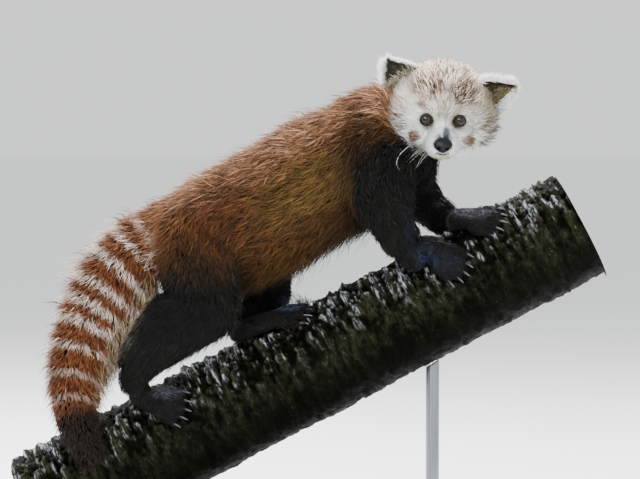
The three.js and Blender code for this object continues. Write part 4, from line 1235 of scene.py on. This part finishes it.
# Claws, pale towards the tip.
CLAW_LENGTH = 18
parts = [nail.shell(12, 16, (0.3, 0.6)) for nail in claws]
reach = [(verts - nail.middle[0]) @ nail.along[20] for nail, (verts, _) in zip(claws, parts)]
claw = make_object("claws", *joined(parts), claw_material())
add_layer(claw.data, "number", "tip", np.clip(np.concatenate(reach) / CLAW_LENGTH, 0, 1))
dress(claw, "black_fur")

# The log: broken scales of bark with fine fibres that run round it, on rings of points that lie
# closer together on its upper side.
LOG_RINGS, LOG_SIDES = 570, 170
SCALE_LENGTH = 19.0
END_RINGS = (0.25, 0.5, 0.75, 0.93)
BEVEL = 1.5
turn = turns(LOG_SIDES)
turn = turn - 0.45 * np.sin(turn - 0.6)
s, a = (grid.ravel() for grid in np.meshgrid(np.linspace(*LOG_ENDS, LOG_RINGS), turn, indexing="ij"))
cos_a, sin_a = np.cos(a), np.sin(a)
flat = on_log(s, a, np.zeros(s.size))
wander = 9 * noises(flat, 80, 31) + 5 * noises(flat, 22, 33)
saw = (s + wander) / SCALE_LENGTH % 1
upward = smooth(-0.4, 0.9, np.cos(a - 0.15))
lip = smooth(0, 0.25, saw) * (1 - smooth(0.4, 1.0, saw)) * (0.25 + 0.75 * upward)
ragged = 0.45 + 0.6 * noises(flat, 14, 35)
fibre = noises(np.stack([s, 16 * cos_a, 16 * sin_a], 1), 4.5, 37)
flakes = noises(flat, 6, 38)
height = -2.4 + 6.5 * lip * ragged + (1.0 + 1.2 * upward) * fibre + (0.5 + 2.0 * upward) * flakes
height = height + 1.8 * noises(flat, 45, 39)
height = np.where(np.minimum(s - LOG_ENDS[0], LOG_ENDS[1] - s) < BEVEL, np.minimum(height, -1.0), height)
surface = on_log(s, a, height).reshape(LOG_RINGS, LOG_SIDES, 3)


def end_rings(ring, end):
    """Rings that close an end of the log, from its middle out."""
    return [LOG_ORIGIN + LOG_UP * end + (ring - ring.mean(0)) * k for k in END_RINGS]


def with_ends(values, on_end):
    """A number for each vertex of the log: those of its ends, then its side, then the fans."""
    rim = np.full(len(END_RINGS) * LOG_SIDES, on_end)
    return np.concatenate([rim, values, rim, [on_end, on_end]])


rings = end_rings(surface[0], LOG_ENDS[0]) + list(surface) + end_rings(surface[-1], LOG_ENDS[1])[::-1]
verts, faces = closed_rings(rings)
log = make_object("bark_log", verts, faces[:, ::-1], bark_material())
# Painted shade towards the underside, and painted light and shade on the relief.
lit = mix(0.1, 1.0, smooth(-0.75, 0.05, cos_a))
add_layer(log.data, "number", "ridge_light_and_shade", with_ends(np.clip((height + 3.4) / 6, 0, 1) * lit, 0.3))
# Painted glints where light catches the crests of the upper side.
on_top = smooth(0.2, 0.85, np.cos(a - 0.1 + 0.25 * noises(flat, 40, 41)))
threads = noises(np.stack([s, 9 * cos_a, 9 * sin_a], 1), 2.8, 42, 2)
painted_glint = on_top * smooth(-1.4, 2.2, height) * smooth(-0.1, 0.25, threads)
add_layer(log.data, "number", "painted_glint", with_ends(painted_glint, 0.0))
wound = np.stack([s / 1.7, LOG_RADIUS * cos_a / 9, LOG_RADIUS * sin_a / 9], 1)
wound = wound.reshape(LOG_RINGS, LOG_SIDES, 3)
ends = [np.stack([np.full(LOG_SIDES, k * 0.5), *(wound[0, :, 1:] * k * 5).T], 1) for k in END_RINGS]
add_layer(log.data, "vector", "drum", np.vstack(ends + list(wound) + ends[::-1] + [np.zeros((2, 3))]))
dress(log, "bark", "log")

board, rod = board_material(), rod_material()
for name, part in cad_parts.items():
    if name.startswith("stand_"):
        part.data.materials.clear()
        part.data.materials.append(board if name == "stand_base" else rod)

# Floor, lights and camera.
FLOOR_HALF = 24
bm = bmesh.new()
bmesh.ops.create_grid(bm, x_segments=1, y_segments=1, size=FLOOR_HALF)
floor_mesh = bpy.data.meshes.new("floor")
bm.to_mesh(floor_mesh)
bm.free()
floor = bpy.data.objects.new("floor", floor_mesh)
bpy.context.scene.collection.objects.link(floor)
floor_mesh.materials.append(Paint("pale_floor", Roughness=0.7, Base_Color=(0.9, 0.905, 0.905, 1)).material)

# name, where, what it points at, size, watts and tint
LIGHTS = [
    ("key", (-1.2, -2.2, 2.6), (0, 0, 0.5), 1.4, 100, (1, 1, 1)),
    ("fill", (2.2, -2.0, 1.2), (0, 0, 0.5), 2.0, 26, (1, 1, 1)),
    ("face", (0.1, -1.5, 1.2), (0.19, -0.08, 0.66), 0.5, 12, (0.95, 0.98, 1.0)),
    ("rim_left", (-2.0, 1.6, 1.9), (-0.1, 0, 0.45), 0.9, 190, (1, 1, 1)),
    ("rim_top", (0.4, 1.2, 2.6), (0.1, 0, 0.6), 1.0, 190, (1, 1, 1)),
]
for name, place, target, size, watts, tint in LIGHTS:
    data = bpy.data.lights.new(name, "AREA")
    data.size = size
    data.energy = watts
    data.color = tint
    lamp = bpy.data.objects.new(name, data)
    bpy.context.scene.collection.objects.link(lamp)
    lamp.location = place
    lamp.rotation_euler = (Vector(target) - Vector(place)).to_track_quat("-Z", "Y").to_euler()

world = bpy.data.worlds.new("soft_world")
bpy.context.scene.world = world
world.use_nodes = True
world.node_tree.nodes["Background"].inputs["Color"].default_value = (0.93, 0.95, 0.96, 1)
world.node_tree.nodes["Background"].inputs["Strength"].default_value = 1.2

# The photo's view: 1.32 mm to the pixel at the animal, from 4 m away and a little above.
PIXEL = 1.32 * MM
PHOTO_WIDTH, PHOTO_MIDDLE = 640, (320, 239.5)
ORIGIN_PIXEL = (300, 606)
DISTANCE, RISE = 4.0, math.radians(3)
camera_data = bpy.data.cameras.new("camera")
camera_data.lens = camera_data.sensor_width * DISTANCE / (PHOTO_WIDTH * PIXEL)
camera_data.clip_end = 60
camera = bpy.data.objects.new("camera", camera_data)
bpy.context.scene.collection.objects.link(camera)
aim = ((PHOTO_MIDDLE[0] - ORIGIN_PIXEL[0]) * PIXEL, -0.02, (ORIGIN_PIXEL[1] - PHOTO_MIDDLE[1]) * PIXEL)
back = Vector((0, -math.cos(RISE), math.sin(RISE)))
camera.location = Vector(aim) + back * DISTANCE
camera.rotation_euler = (-back).to_track_quat("-Z", "Y").to_euler()
bpy.context.scene.camera = camera

bpy.context.view_layer.update()
